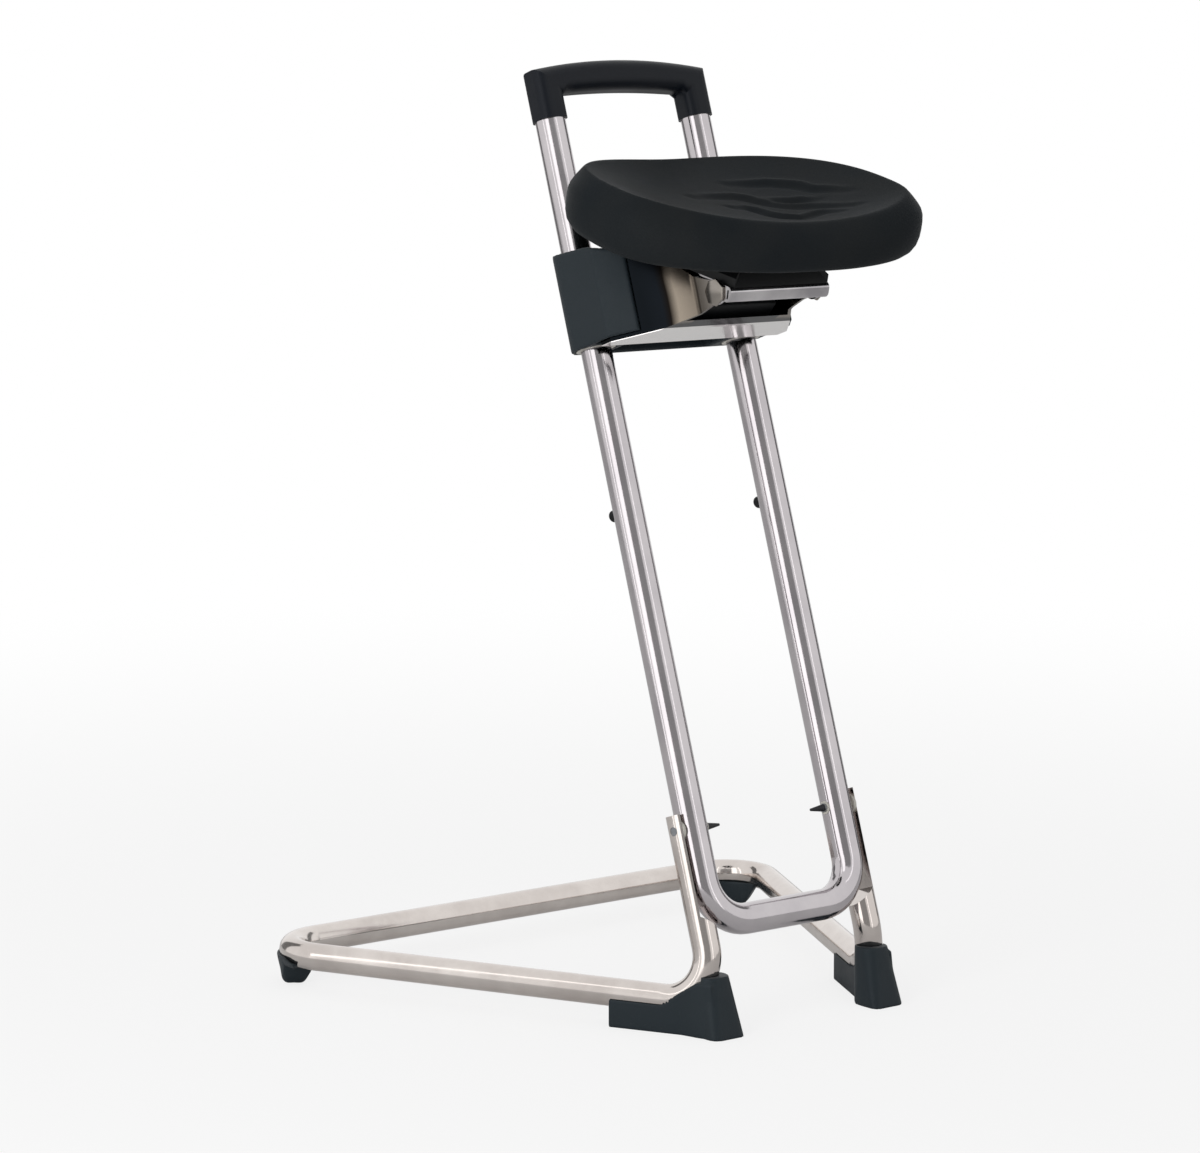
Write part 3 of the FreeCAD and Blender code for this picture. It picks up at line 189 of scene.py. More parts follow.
slate_grain = moulded_plastic("slate_polypropylene", "#242c31",
                              roughness=0.48, grain=0.0009, depth=0.0002, shine=0.2)
BOOT_VOXEL = 0.0012
BOOT_PASSES = 5
BOOT_HEIGHT = 0.053
TOE_PLACE = Vector((0.0945, -0.1925, 0.0))
TOE_START = 0.022
TOE_RUN = 0.02
TOE_HALF_WIDTH = 0.016
TOE_FLARE = 0.0055
TOE_SPREAD = 0.0025
SADDLE_HEIGHT = 0.025
SADDLE_DRAWN_IN = 0.2
SADDLE_CURVE = 1.5
SADDLE_FLAT = 0.007
SADDLE_TIP = 0.022
SADDLE_STRETCH = 0.08
SADDLE_TIP_LIFT = 0.75
SADDLE_TIP_CURVE = 1.6
SADDLE_RIM = 0.008
SADDLE_RIM_LEVEL = 0.012
SADDLE_SWELL = 0.002
SADDLE_WRAP = 0.004


def smooth_step(value):
    """Zero below 0, one above 1, and an even curve between them."""
    value = max(0.0, min(1.0, value))
    return value * value * (3 - 2 * value)


def flare_toe(moulding, sign):
    """Spread a boot's toe forwards and sideways towards the floor."""
    for vertex in moulding.data.vertices:
        low = max(0.0, 1 - vertex.co.z / BOOT_HEIGHT)
        near = smooth_step((TOE_PLACE.y + TOE_START - vertex.co.y) / TOE_RUN)
        aside = (vertex.co.x - sign * TOE_PLACE.x) / TOE_HALF_WIDTH
        vertex.co.y -= TOE_FLARE * low * near
        vertex.co.x += TOE_SPREAD * low * near * max(-1.0, min(1.0, aside))


def cup_saddle(moulding, node):
    """Draw a saddle's sole in, lift its two tips and carry its outer rim up round the tube."""
    lowest, highest = (Vector(corner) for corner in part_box(node))
    middle = (lowest + highest) / 2
    outward = Vector((middle.x, middle.y, 0)).normalized()
    tangent = Vector((-outward.y, outward.x, 0))
    for vertex in moulding.data.vertices:
        offset = Vector((vertex.co.x - middle.x, vertex.co.y - middle.y, 0))
        reach = offset.dot(outward)
        low = max(0.0, 1 - vertex.co.z / SADDLE_HEIGHT)
        shift = -offset * SADDLE_DRAWN_IN * low**SADDLE_CURVE
        sideways = offset.dot(tangent)
        tip = max(0.0, min(1.0, (abs(sideways) - SADDLE_FLAT) / (SADDLE_TIP - SADDLE_FLAT)))
        shift += tangent * sideways * SADDLE_STRETCH * tip
        shift.z += max(0.0, SADDLE_HEIGHT - vertex.co.z) * SADDLE_TIP_LIFT * tip**SADDLE_TIP_CURVE
        rim = smooth_step(reach / SADDLE_RIM)
        rim *= smooth_step((vertex.co.z - SADDLE_RIM_LEVEL) / SADDLE_RIM_LEVEL)
        vertex.co += shift + (outward * SADDLE_SWELL + Vector((0, 0, SADDLE_WRAP))) * rim


for side, sign in (("right", -1), ("left", 1)):
    for part, kind in (("foot", "boot"), ("glide", "saddle")):
        node = side + "_" + part
        moulding = rounded_copy(side + "_" + kind, node, BOOT_VOXEL, BOOT_PASSES)
        if kind == "boot":
            flare_toe(moulding, sign)
        else:
            cup_saddle(moulding, node)
        moulding.data.materials.clear()
        moulding.data.materials.append(slate_grain)
        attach(moulding, "base")
        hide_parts(node)


# Screws, pins, studs, spring, brake bar and axle: zinc-plated steel, turned, headed or wound. The plating is
# a shade duller and bluer than the chrome.
zinc, zinc_tree, zinc_shader = new_material("zinc_plated_steel", "#9c9fa3", metallic=1.0, roughness=0.32)
zinc_place = add(zinc_tree, "ShaderNodeTexCoord", {})
zinc_cloud = add(zinc_tree, "ShaderNodeTexNoise", {"Scale": 220.0, "Detail": 5.0},
                 [("Vector", zinc_place, "Object")])
zinc_haze = add(zinc_tree, "ShaderNodeMapRange", {"To Min": 0.22, "To Max": 0.44},
                [("Value", zinc_cloud, "Fac")])
zinc_tree.links.new(zinc_haze.outputs["Result"], zinc_shader.inputs["Roughness"])
dress(zinc, "foot_screws", "right_pivot_pin", "left_pivot_pin", "handle_screws", "housing_screws",
      "brake_guides", "tilt_axle", "axle_caps", "tilt_spring", "brake_bar", "seat_screws")

# Pivot caps, washers, sleeves and sliding bushes: nylon mouldings. The tapered caps are black, the bearing
# parts are left in the pale natural colour and go slightly translucent and waxy.
cap_nylon = moulded_plastic("black_nylon", "#191b1f", roughness=0.42, grain=0.0011, depth=0.0001)
dress(cap_nylon, "right_pin_cap", "left_pin_cap")
bearing_nylon = moulded_plastic("natural_nylon", "#c9c6bd",
                                roughness=0.38, grain=0.0013, depth=0.0001, shine=0.5)
dress(bearing_nylon, "right_pivot_washer", "left_pivot_washer", "right_pivot_sleeve", "left_pivot_sleeve",
      "right_upper_bush", "right_lower_bush", "left_upper_bush", "left_lower_bush",
      "right_tilt_bush", "left_tilt_bush")

# Mast: one steel tube bent to a U with its ends up, chrome plated, hung on two pins in the floor frame's ears.
# It is polished more than the floor frame and looks cooler.
mast_chrome = chrome("chrome_plated_mast_tube", "#c8c3c5", "#bcb7ba", polish=0.11)
dress(mast_chrome, "mast_tube")

# Stop buffers and brake pads: black rubber studs behind the tubes and blocks on the brake bar, moulded and
# pressed in, dull and slightly dusty.
rubber = moulded_plastic("black_rubber", "#17181a", roughness=0.75, grain=0.0016, depth=0.0003, shine=0.25)
dress(rubber, "right_stop_buffer", "left_stop_buffer", "right_brake_pad", "left_brake_pad")

# Handle: a glass-filled nylon moulding in blue-black, plugged into both tube ends and screwed from behind.
# The grip over its opening is slim, so the copy's ceiling is raised by a few millimetres.
handle_nylon = moulded_plastic("blue_black_nylon", "#0c1119",
                               roughness=0.42, grain=0.0012, depth=0.00015, shine=0.2)
MAST_LEAN = math.radians(18.15)
FORWARD = Vector((0, -math.cos(MAST_LEAN), math.sin(MAST_LEAN)))
ALONG = Vector((0, math.sin(MAST_LEAN), math.cos(MAST_LEAN)))
MAST_FOOT = Vector((0, -0.2042, 0))
OPENING_HALF = 0.0712
GRIP_FROM = 0.850
CEILING_FROM = 0.868
CEILING_TO = 0.880
CEILING_RISE = 0.0035
grip = bpy.data.objects.new("carrying_handle", nodes["handle"].data.copy())
bpy.context.scene.collection.objects.link(grip)
for vertex in grip.data.vertices:
    height = (vertex.co - MAST_FOOT).dot(ALONG)
    if abs(vertex.co.x) < OPENING_HALF and height > GRIP_FROM:
        below = smooth_step((CEILING_TO - height) / (CEILING_TO - CEILING_FROM))
        vertex.co += ALONG * CEILING_RISE * below
grip.data.materials.clear()
grip.data.materials.append(handle_nylon)
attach(grip, "mast")
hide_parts("handle")

# Carriage housing: one slate-black polypropylene moulding round both tubes, with rounded corners and the
# boots' matte grain. It slides with the brake and holds the bright bracket inside its mouth.
HOUSING_VOXEL = 0.0016
HOUSING_PASSES = 4
housing = rounded_copy("slide_housing", "carriage_housing", HOUSING_VOXEL, HOUSING_PASSES)
housing.data.materials.clear()
housing.data.materials.append(slate_grain)
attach(housing, "carriage")
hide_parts("carriage_housing")

# Carriage bracket: steel plate, bent, chrome plated and screwed into the housing. Its base colour is a painted
# reflection set by place: the cheeks are painted from near black to a warm beige at the front for the housing
# they mirror, the mouth is painted dark for the pan above it, and the underside near white for the bright
# floor.
# Where the painted reflection on the cheeks runs from dark to beige, and how much it sways.
PAINTED_REFLECTION_FROM = 0.078
PAINTED_REFLECTION_TO = 0.140
PAINTED_REFLECTION_SWAY = 0.03
SWAY_MIDDLE = 0.015
FLOOR_UNDERSIDE = 0.6206
MOUTH_HALF = 0.0495
bracket_chrome = chrome("chrome_plated_bracket", "#b5aba0", "#9d938a", polish=0.16)
bracket_tree = bracket_chrome.node_tree
bracket_place = add(bracket_tree, "ShaderNodeTexCoord", {})
bracket_wave = add(bracket_tree, "ShaderNodeTexNoise", {"Scale": 9.0, "Detail": 2.0},
                   [("Vector", bracket_place, "Object")])
bracket_reach = add(bracket_tree, "ShaderNodeVectorMath", {"operation": "DOT_PRODUCT", 1: FORWARD},
                    [(0, bracket_place, "Object")])
bracket_sway = add(bracket_tree, "ShaderNodeMath", {"operation": "MULTIPLY_ADD", 1: PAINTED_REFLECTION_SWAY},
                   [(0, bracket_wave, "Fac"), (2, bracket_reach, "Value")])
foot_reach = MAST_FOOT.dot(FORWARD) + SWAY_MIDDLE
bracket_share = add(bracket_tree, "ShaderNodeMapRange",
                    {"From Min": foot_reach + PAINTED_REFLECTION_FROM, "From Max": foot_reach + PAINTED_REFLECTION_TO},
                    [("Value", bracket_sway, "Value")])
# Painted reflection of the housing: the cheeks go from near black at the rear to warm beige at the front.
bracket_painted_reflection = add(bracket_tree, "ShaderNodeValToRGB", {}, [("Fac", bracket_share, "Result")])
bracket_painted_reflection.color_ramp.elements[0].color = linear("#101316")
bracket_painted_reflection.color_ramp.elements[1].color = linear("#9a948d")
for position, colour in ((0.18, "#13161a"), (0.25, "#14110f"), (0.34, "#7c7368"), (0.55, "#675f56"),
                         (0.605, "#2a2622"), (0.65, "#6e6861")):
    stop = bracket_painted_reflection.color_ramp.elements.new(position)
    stop.color = linear(colour)
bracket_parts = add(bracket_tree, "ShaderNodeSeparateXYZ", {}, [("Vector", bracket_place, "Object")])
bracket_aside = add(bracket_tree, "ShaderNodeMath", {"operation": "ABSOLUTE"}, [(0, bracket_parts, "X")])
bracket_inside = add(bracket_tree, "ShaderNodeMath", {"operation": "LESS_THAN", 1: MOUTH_HALF},
                     [(0, bracket_aside, "Value")])
# Painted reflection of the pan: the mouth between the cheeks is painted dark.
bracket_painted_mouth = add(bracket_tree, "ShaderNodeMix", {"data_type": "RGBA", "B": linear("#15171b")},
                    [("Factor", bracket_inside, "Value"), ("A", bracket_painted_reflection, "Color")])
bracket_level = add(bracket_tree, "ShaderNodeVectorMath", {"operation": "DOT_PRODUCT", 1: ALONG},
                    [(0, bracket_place, "Object")])
bracket_painted_underside = add(bracket_tree, "ShaderNodeMath",
                    {"operation": "LESS_THAN", 1: MAST_FOOT.dot(ALONG) + FLOOR_UNDERSIDE},
                    [(0, bracket_level, "Value")])
# Painted reflection of the floor: the underside is painted near white.
bracket_painted_colour = add(bracket_tree, "ShaderNodeMix", {"data_type": "RGBA", "B": linear("#fbf8f6")},
                     [("Factor", bracket_painted_underside, "Value"), ("A", bracket_painted_mouth, "Result")])
bracket_shader = bracket_tree.nodes["Principled BSDF"]
bracket_tree.links.new(bracket_painted_colour.outputs["Result"], bracket_shader.inputs["Base Color"])
dress(bracket_chrome, "carriage_bracket")

# Brake cover: a black polypropylene wedge in the bracket's mouth that hides the brake bar and its studs. It
# is clipped over the bracket's floor and stays clear of the tray above it.
COVER_HALF = 0.047
COVER_OUTLINE = ((0.046, 0.6245), (0.088, 0.6245), (0.104, 0.634),
                 (0.092, 0.652), (0.062, 0.661), (0.046, 0.655))
cover = bpy.data.objects.new("brake_cover", bpy.data.meshes.new("brake_cover"))
bpy.context.scene.collection.objects.link(cover)
bpy.context.view_layer.objects.active = cover
cover.select_set(True)
cover_mesh = bmesh.new()
cover_ends = []
for x in (-COVER_HALF, COVER_HALF):
    corners = [MAST_FOOT + FORWARD * ahead + ALONG * up + Vector((x, 0, 0)) for ahead, up in COVER_OUTLINE]
    cover_ends.append([cover_mesh.verts.new(corner) for corner in corners])
cover_mesh.faces.new(cover_ends[0])
cover_mesh.faces.new(list(reversed(cover_ends[1])))
for index in range(len(COVER_OUTLINE)):
    after = (index + 1) % len(COVER_OUTLINE)
    cover_mesh.faces.new((cover_ends[0][index], cover_ends[1][index],
                          cover_ends[1][after], cover_ends[0][after]))
bmesh.ops.recalc_face_normals(cover_mesh, faces=cover_mesh.faces)
cover_mesh.to_mesh(cover.data)
cover_mesh.free()
cover_edges = cover.modifiers.new("moulded_edges", "BEVEL")
cover_edges.width = 0.002
cover_edges.segments = 3
bpy.ops.object.modifier_apply(modifier="moulded_edges")
bpy.ops.object.shade_smooth_by_angle(angle=math.radians(40))
cover.select_set(False)
cover_plastic = moulded_plastic("black_cover_polypropylene", "#101113",
                                roughness=0.5, grain=0.0012, depth=0.0002, shine=0.2)
cover.data.materials.append(cover_plastic)
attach(cover, "carriage")

# Seat tray: steel plate with a rolled front lip and two ears on the axle, chrome plated. It is screwed to the
# pan's pedestal, and handling clouds the roll.
tray_chrome = chrome("chrome_plated_tray", "#d2cfd0", "#aaa7aa", polish=0.12)
dress(tray_chrome, "seat_bracket")

# Axle covers: pressed steel plates with bent-over corners that close the seat's pivot on both sides, plated
# like the bracket and riveted flush.
TILT_CENTRE = Vector((0, -0.142606, 0.650162))
PLATE_PLACE = 0.0587
PLATE_CORNERS = 7
PLATE_RADIUS = 0.0125
PLATE_THICKNESS = 0.0022
for side, sign in (("right", -1), ("left", 1)):
    bpy.ops.mesh.primitive_cylinder_add(vertices=PLATE_CORNERS, radius=PLATE_RADIUS, depth=PLATE_THICKNESS,
                                        location=TILT_CENTRE + Vector((sign * PLATE_PLACE, 0, 0)),
                                        rotation=(0, math.pi / 2, 0))
    plate = bpy.context.active_object
    plate.name = side + "_axle_cover"
    bpy.ops.object.transform_apply(location=True, rotation=True, scale=True)
    pressed = plate.modifiers.new("pressed_edge", "BEVEL")
    pressed.width = 0.0008
    pressed.segments = 2
    bpy.ops.object.modifier_apply(modifier="pressed_edge")
    bpy.ops.object.shade_smooth_by_angle(angle=math.radians(30))
    plate.select_set(False)
    # The covers take the bracket's material, so its painted reflection colours them by place as well.
    plate.data.materials.append(bracket_chrome)
    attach(plate, "carriage")
    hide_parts("axle_caps")

# Seat pan: the black polypropylene moulding that the foam is cast on, on a pedestal that stands on the tray.
# Its rim ends inside the foam, so the copy's rim is drawn in.
pan_plastic = moulded_plastic("black_polypropylene", "#121314",
                              roughness=0.50, grain=0.0012, depth=0.0002, shine=0.25)
PAN_SLOPE = math.radians(11.9)
SEAT_FRAME = Matrix.Translation(TILT_CENTRE) @ Matrix.Rotation(PAN_SLOPE, 4, "X")
RIM_LEVEL = 0.0325
RIM_MIDDLE = 0.039
RIM_SHRINK = 0.8
pan = bpy.data.objects.new("moulded_pan", nodes["seat_pan"].data.copy())
bpy.context.scene.collection.objects.link(pan)
to_seat = SEAT_FRAME.inverted()
for vertex in pan.data.vertices:
    spot = to_seat @ vertex.co
    if spot.z > RIM_LEVEL:
        spot.x *= RIM_SHRINK
        spot.y = RIM_MIDDLE + (spot.y - RIM_MIDDLE) * RIM_SHRINK
        vertex.co = SEAT_FRAME @ spot
pan.data.materials.clear()
pan.data.materials.append(pan_plastic)
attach(pan, "seat")
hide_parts("seat_pan")

# Seat cushion: integral-skin polyurethane foam cast in one mould, with high sides, a low middle, a bevelled
# rim that widens to the front and shallow wavy ribs for grip. The skin is leathery, soft and finely pored.
CUSHION_SLOPE = math.radians(12.8)
HALF_WIDTH = 0.17365
FRONT_REACH = 0.0900
REAR_REACH = 0.1451
MIDDLE_PLACE = 0.0229
FRONT_SQUARENESS = 2.95
REAR_SQUARENESS = 2.58
FRONT_TAPER = 0.24
REAR_TAPER = 0.08
SIDE_HEIGHT = 0.0625
MIDDLE_HEIGHT = 0.0315
FRONT_RISE = 0.012
REAR_RISE = 0.0156
BOTTOM_PLACE = 0.0310
LOW_INSET = 0.0199
LOW_INSET_FRONT = 0.0041
BEVEL = 0.02185
AROUND = 256
# each wall step: share of the height, share of the low inset, share of the bevel
WALL = ((0.0, 1.0, 0.0), (0.02, 0.72, 0.0), (0.08, 0.30, 0.0), (0.18, 0.08, 0.0), (0.30, 0.0, 0.0),
        (0.42, 0.0, 0.0), (0.54, 0.0, 0.0), (0.62, 0.0, 0.02), (0.68, 0.0, 0.10), (0.76, 0.0, 0.30),
        (0.84, 0.0, 0.52), (0.92, 0.0, 0.75), (0.97, 0.0, 0.90), (1.0, 0.0, 1.0))
REAR_BEVEL = 0.45
TOP_RINGS = 62
BOTTOM_RINGS = 10
SOFT_FROM = -0.16
SOFT_REACH = 0.06
EDGE_PASSES = 4
FRONT_PASSES = 26
RIB_HEIGHT = 0.0028
RIB_WIDTH = 0.0042
DIP_DEPTH = 0.9
DIP_PLACE = 1.6 * RIB_WIDTH
DIP_WIDTH = 1.3 * RIB_WIDTH
RIB_END = 0.04
# each rib: points on its crest, in millimetres to the left and to the back of the tilt axis
RIBS = (
    ((-34, 77), (-11, 79), (12, 78), (23, 71), (31, 59), (39, 48), (50, 38), (74, 27), (98, 11)),
    ((-9, 49), (3, 46), (10, 38), (14, 24), (20, 11), (29, 4), (48, 10), (61, 12), (72, 5)),
    ((30, 105), (47, 101), (67, 96), (82, 86), (92, 77), (96, 65), (109, 55), (118, 45)),
    ((38, 61), (48, 55), (59, 50), (69, 49), (79, 44)),
)


def rib_relief(x, y):
    """How far the moulded ribs raise the top at a point: a crest with a soft hollow in front of it."""
    most = 0.0
    for rib in RIBS:
        nearest, hollow = 1.0, 1.0
        fade = 1.0
        crest_points = [Vector(point) / 1000 for point in rib]
        for index in range(len(rib) - 1):
            start = crest_points[index]
            along = crest_points[index + 1] - start
            share = max(0.0, min(1.0, (Vector((x, y)) - start).dot(along) / along.length_squared))
            gap = (Vector((x, y)) - start - along * share).length
            if gap < nearest:
                nearest = gap
                across = (x - start.x) * along.y - (y - start.y) * along.x
                hollow = -1.0 if across < 0 else 1.0
                run = (index + share) / (len(rib) - 1)
                fade = math.sin(math.pi * max(RIB_END, min(1 - RIB_END, run))) ** 0.5
        crest = math.exp(-((nearest / RIB_WIDTH) ** 2))
        dip = math.exp(-(((nearest * hollow - DIP_PLACE) / DIP_WIDTH) ** 2))
        most += (crest - DIP_DEPTH * dip) * fade
    return RIB_HEIGHT * most


def cushion_height(x, lengthwise):
    """The cushion's thickness: least in the middle, more to both sides, the front and the rear."""
    outward = min(abs(x) / HALF_WIDTH, 1.0)
    rise = FRONT_RISE if lengthwise < 0 else REAR_RISE
    return MIDDLE_HEIGHT + (SIDE_HEIGHT - MIDDLE_HEIGHT) * outward**2 + rise * lengthwise**2


def cushion_ring(wall_share, low_share, bevel_share, scale):
    """One closed ring of the cushion: on its wall, or shrunk towards the middle of its top."""
    ring = []
    for index in range(AROUND):
        angle = 2 * math.pi * index / AROUND
        cosine, sine = math.cos(angle), math.sin(angle)
        squareness = FRONT_SQUARENESS if sine < 0 else REAR_SQUARENESS
        across = math.copysign(abs(cosine) ** (2 / squareness), cosine)
        lengthwise = math.copysign(abs(sine) ** (2 / squareness), sine)
        taper = 1 - (FRONT_TAPER if sine < 0 else REAR_TAPER) * lengthwise**2
        front = max(-lengthwise, 0.0) ** 2
        bevel = BEVEL * (REAR_BEVEL + (1 - REAR_BEVEL) * (1 - lengthwise) / 2)
        inset = (LOW_INSET + (LOW_INSET_FRONT - LOW_INSET) * front) * low_share + bevel * bevel_share
        reach = FRONT_REACH if sine < 0 else REAR_REACH
        x = (HALF_WIDTH - inset) * across * taper * scale
        y = MIDDLE_PLACE + (reach - inset) * lengthwise * scale
        z = BOTTOM_PLACE + wall_share * cushion_height(x, lengthwise * scale)
        ring.append(Vector((x, y, z)))
    return ring


cushion_mesh = bmesh.new()
rings = []
for step in range(1, BOTTOM_RINGS):
    rings.append(cushion_ring(0.0, 1.0, 0.0, step / BOTTOM_RINGS))
for share, on_low, on_bevel in WALL:
    rings.append(cushion_ring(share, on_low, on_bevel, 1.0))
for step in range(1, TOP_RINGS):
    rings.append(cushion_ring(1.0, 0.0, 1.0, 1 - step / TOP_RINGS))
for index in range(BOTTOM_RINGS - 1 + len(WALL), len(rings)):
    for point in rings[index]:
        point.z += rib_relief(point.x, point.y)
rows = [[cushion_mesh.verts.new(point) for point in ring] for ring in rings]
bottom_pole = cushion_mesh.verts.new((0, MIDDLE_PLACE, BOTTOM_PLACE))
top_level = BOTTOM_PLACE + MIDDLE_HEIGHT + rib_relief(0, MIDDLE_PLACE)
top_pole = cushion_mesh.verts.new((0, MIDDLE_PLACE, top_level))
for lower, upper in zip(rows, rows[1:]):
    for index in range(AROUND):
        after = (index + 1) % AROUND
        cushion_mesh.faces.new((lower[index], lower[after], upper[after], upper[index]))
for index in range(AROUND):
    after = (index + 1) % AROUND
    cushion_mesh.faces.new((rows[0][after], rows[0][index], bottom_pole))
    cushion_mesh.faces.new((rows[-1][index], rows[-1][after], top_pole))
bmesh.ops.recalc_face_normals(cushion_mesh, faces=cushion_mesh.faces)
cushion_mesh.transform(Matrix.Translation(TILT_CENTRE) @ Matrix.Rotation(CUSHION_SLOPE, 4, "X"))
cushion_data = bpy.data.meshes.new("foam_seat")
cushion_mesh.to_mesh(cushion_data)
cushion_mesh.free()
cushion = bpy.data.objects.new("foam_seat", cushion_data)
bpy.context.scene.collection.objects.link(cushion)
bpy.context.view_layer.objects.active = cushion
cushion.select_set(True)
front_share = cushion.vertex_groups.new(name="front_share")
for vertex in cushion.data.vertices:
    front_share.add([vertex.index], smooth_step((SOFT_FROM - vertex.co.y) / SOFT_REACH), "REPLACE")
for edge, times in (("soft_edges", EDGE_PASSES), ("soft_front", FRONT_PASSES)):
    soften = cushion.modifiers.new(edge, "SMOOTH")
    soften.factor = 0.5
    soften.iterations = times
    if edge == "soft_front":
        soften.vertex_group = "front_share"
    bpy.ops.object.modifier_apply(modifier=edge)
bpy.ops.object.shade_smooth()
cushion.select_set(False)

# Polyurethane skin: the pores are drawn at 1.6 mm, coarser than the real 0.5 mm, so that they show.
PORE_SIZE = 0.0016
CREASE_SIZE = 0.012
skin, skin_tree, skin_shader = new_material("polyurethane_skin", "#17191b", metallic=0.0, roughness=0.48)
skin_shader.inputs["Specular IOR Level"].default_value = 0.015
skin_place = add(skin_tree, "ShaderNodeTexCoord", {})
skin_tone = add(skin_tree, "ShaderNodeTexNoise", {"Scale": 14.0, "Detail": 5.0},
                [("Vector", skin_place, "Object")])
skin_ramp = add(skin_tree, "ShaderNodeValToRGB", {}, [("Fac", skin_tone, "Fac")])
skin_ramp.color_ramp.elements[0].position = 0.3
skin_ramp.color_ramp.elements[0].color = linear("#212528")
skin_ramp.color_ramp.elements[1].position = 0.75
skin_ramp.color_ramp.elements[1].color = linear("#292b2c")
skin_tree.links.new(skin_ramp.outputs["Color"], skin_shader.inputs["Base Color"])
skin_haze = add(skin_tree, "ShaderNodeMapRange", {"To Min": 0.40, "To Max": 0.58},
                [("Value", skin_tone, "Fac")])
skin_tree.links.new(skin_haze.outputs["Result"], skin_shader.inputs["Roughness"])
skin_pores = add(skin_tree, "ShaderNodeTexVoronoi", {"Scale": 1 / PORE_SIZE},
                 [("Vector", skin_place, "Object")])
skin_creases = add(skin_tree, "ShaderNodeTexNoise",
                   {"Scale": 1 / CREASE_SIZE, "Detail": 8.0, "Roughness": 0.6},
                   [("Vector", skin_place, "Object")])
pore_relief = add(skin_tree, "ShaderNodeBump", {"Strength": 0.35, "Distance": 0.0003},
                  [("Height", skin_pores, "Distance")])
skin_relief = add(skin_tree, "ShaderNodeBump", {"Strength": 0.25, "Distance": 0.0008},
                  [("Height", skin_creases, "Fac"), ("Normal", pore_relief, "Normal")])
skin_tree.links.new(skin_relief.outputs["Normal"], skin_shader.inputs["Normal"])
cushion.data.materials.append(skin)
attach(cushion, "seat")
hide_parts("seat_cushion")

# Studio: a pale floor that runs into a white backdrop, one large softbox overhead and one in front on the
# left. Metal mirrors a white card in place of the front lamp, so that its lines stay below clipping.
FLOOR_HALF = 9.0
floor_mesh = bpy.data.meshes.new("floor")
floor_mesh.from_pydata([(-FLOOR_HALF, -FLOOR_HALF, 0), (FLOOR_HALF, -FLOOR_HALF, 0),
                        (FLOOR_HALF, FLOOR_HALF, 0), (-FLOOR_HALF, FLOOR_HALF, 0)], [], [(0, 1, 2, 3)])
floor = bpy.data.objects.new("floor", floor_mesh)
bpy.context.scene.collection.objects.link(floor)
paper, paper_tree, paper_shader = new_material("studio_paper", "#f4f4f4", metallic=0.0, roughness=0.9)
paper_ray = add(paper_tree, "ShaderNodeLightPath", {})
paper_place = add(paper_tree, "ShaderNodeTexCoord", {})
paper_reach = add(paper_tree, "ShaderNodeVectorMath", {"operation": "LENGTH"}, [(0, paper_place, "Object")])
paper_fade = add(paper_tree, "ShaderNodeMapRange",
                 {"interpolation_type": "SMOOTHSTEP", "From Min": 0.4, "From Max": 2.6, "To Min": 0.80,
                  "To Max": 1.0},
                 [("Value", paper_reach, "Value")])
paper_share = add(paper_tree, "ShaderNodeMath", {"operation": "MULTIPLY"},
                  [(0, paper_ray, "Is Camera Ray"), (1, paper_fade, "Result")])
paper_glow = add(paper_tree, "ShaderNodeEmission", {"Color": (1, 1, 1, 1), "Strength": 1.0})
paper_mix = add(paper_tree, "ShaderNodeMixShader", {},
                [(0, paper_share, "Value"), (1, paper_shader, "BSDF"), (2, paper_glow, "Emission")])
paper_tree.links.new(paper_mix.outputs["Shader"], paper_tree.nodes["Material Output"].inputs["Surface"])
floor_mesh.materials.append(paper)

world = bpy.data.worlds.new("studio")
bpy.context.scene.world = world
world.use_nodes = True
sky = world.node_tree
ray = add(sky, "ShaderNodeLightPath", {})
seen = add(sky, "ShaderNodeMath", {"operation": "MAXIMUM"},
           [(0, ray, "Is Camera Ray"), (1, ray, "Is Glossy Ray")])
shown = add(sky, "ShaderNodeMath", {"operation": "MAXIMUM"},
            [(0, seen, "Value"), (1, ray, "Is Transmission Ray")])
level = add(sky, "ShaderNodeMapRange", {"To Min": 0.48, "To Max": 1.0}, [("Value", shown, "Value")])
sky.links.new(level.outputs["Result"], sky.nodes["Background"].inputs["Strength"])
sky.nodes["Background"].inputs["Color"].default_value = (1, 1, 1, 1)

# Grey cards stand behind the photographer and at both sides behind the stool, and white ones in front of the
# stool. Only reflections show them: they give the chrome its darker bands and the bright lines on its tubes.
CARD_BOTTOM = 0.02
CARD_TOP = 4.0
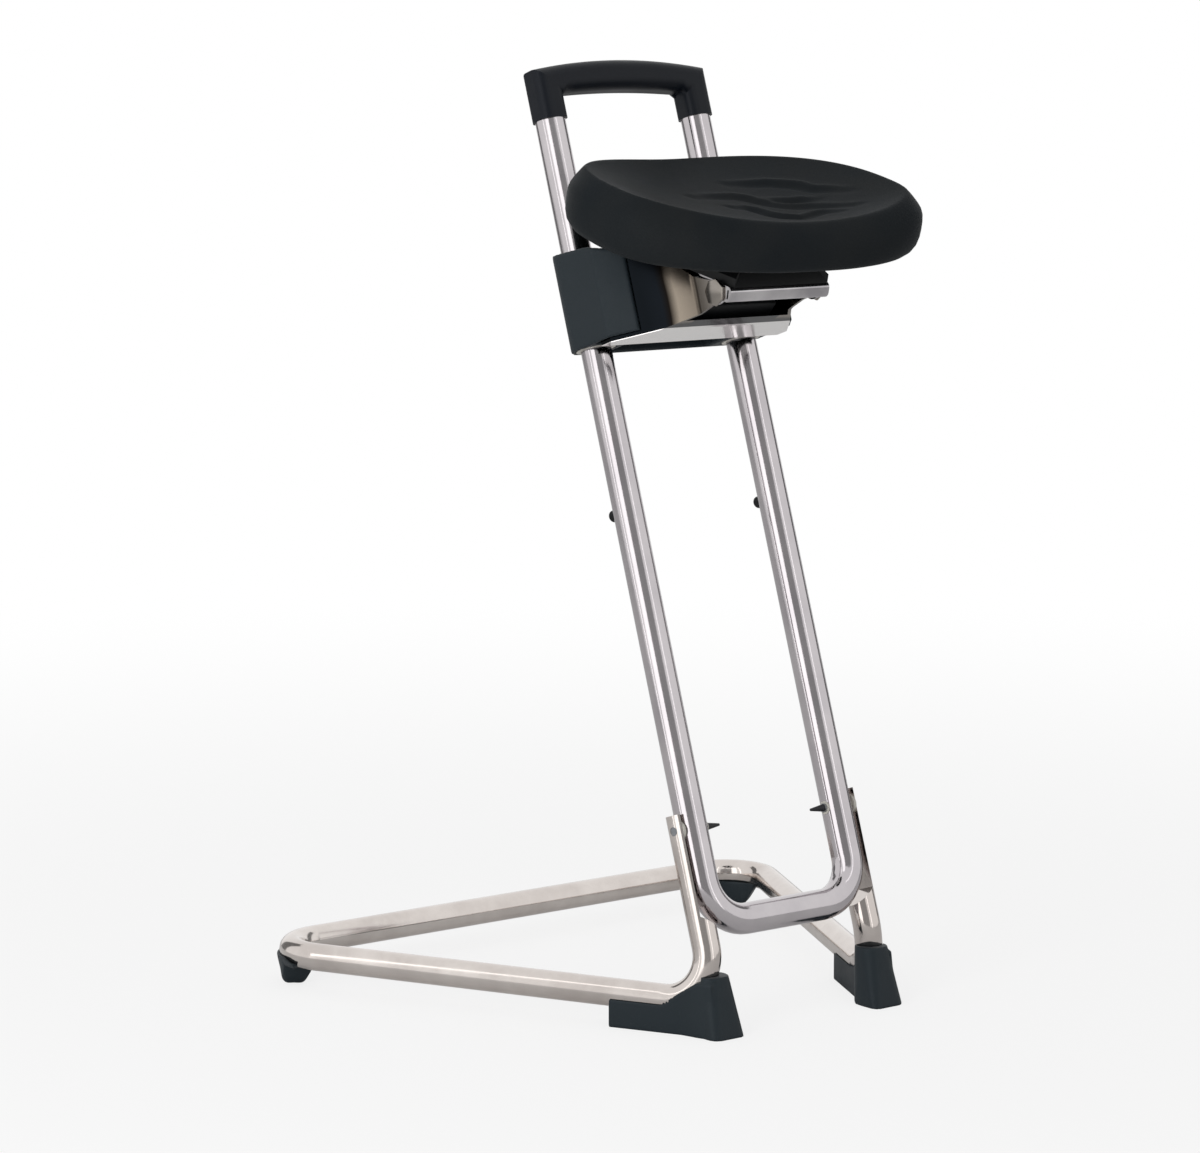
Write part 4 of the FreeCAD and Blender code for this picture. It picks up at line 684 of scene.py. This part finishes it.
# each card: name, heading in degrees from +X towards +Y, distance, width, brightness
CARDS = (
    ("camera_card", 230.6, 4.6, 5.2, 0.36),
    ("left_card", 100.6, 4.0, 1.7, 0.20),
    ("right_card", 0.6, 4.0, 1.7, 0.20),
    ("front_glow", 200.3, 2.9, 1.2, 1.9),
    ("left_line", 172.0, 2.5, 0.16, 2.4),
    ("right_line", 278.0, 2.5, 0.16, 2.4),
)
for name, heading, distance, width, tone in CARDS:
    turned = math.radians(heading)
    towards = Vector((math.cos(turned), math.sin(turned), 0))
    across = Vector((-towards.y, towards.x, 0)) * (width / 2)
    card_mesh = bpy.data.meshes.new(name)
    corners = [towards * distance + across * sign + Vector((0, 0, height))
               for sign, height in ((-1, CARD_BOTTOM), (1, CARD_BOTTOM), (1, CARD_TOP), (-1, CARD_TOP))]
    card_mesh.from_pydata(corners, [], [(0, 1, 2, 3)])
    card = bpy.data.objects.new(name, card_mesh)
    bpy.context.scene.collection.objects.link(card)
    card.visible_camera = False
    card.visible_diffuse = False
    card.visible_shadow = False
    card_paint = bpy.data.materials.new(name)
    card_paint.use_nodes = True
    card_tree = card_paint.node_tree
    card_glow = add(card_tree, "ShaderNodeEmission", {"Color": (tone, tone, tone, 1), "Strength": 1.0})
    card_tree.links.new(card_glow.outputs["Emission"], card_tree.nodes["Material Output"].inputs["Surface"])
    card_mesh.materials.append(card_paint)

AIM = Vector((0, 0, 0.45))
# each lamp: name, place, width, height, watts
LAMPS = (
    ("overhead_softbox", (0.2, 0.3, 2.6), 1.7, 1.7, 2.5),
    ("front_softbox", (-2.7, -1.0, 1.2), 1.2, 1.6, 30.0),
)
for name, place, width, height, power in LAMPS:
    lamp_data = bpy.data.lights.new(name, "AREA")
    lamp_data.shape = "RECTANGLE"
    lamp_data.size = width
    lamp_data.size_y = height
    lamp_data.energy = power
    lamp = bpy.data.objects.new(name, lamp_data)
    bpy.context.scene.collection.objects.link(lamp)
    lamp.visible_glossy = False
    lamp.location = place
    lamp.rotation_euler = (AIM - Vector(place)).to_track_quat("-Z", "Y").to_euler()

bpy.context.scene.view_settings.view_transform = "Standard"
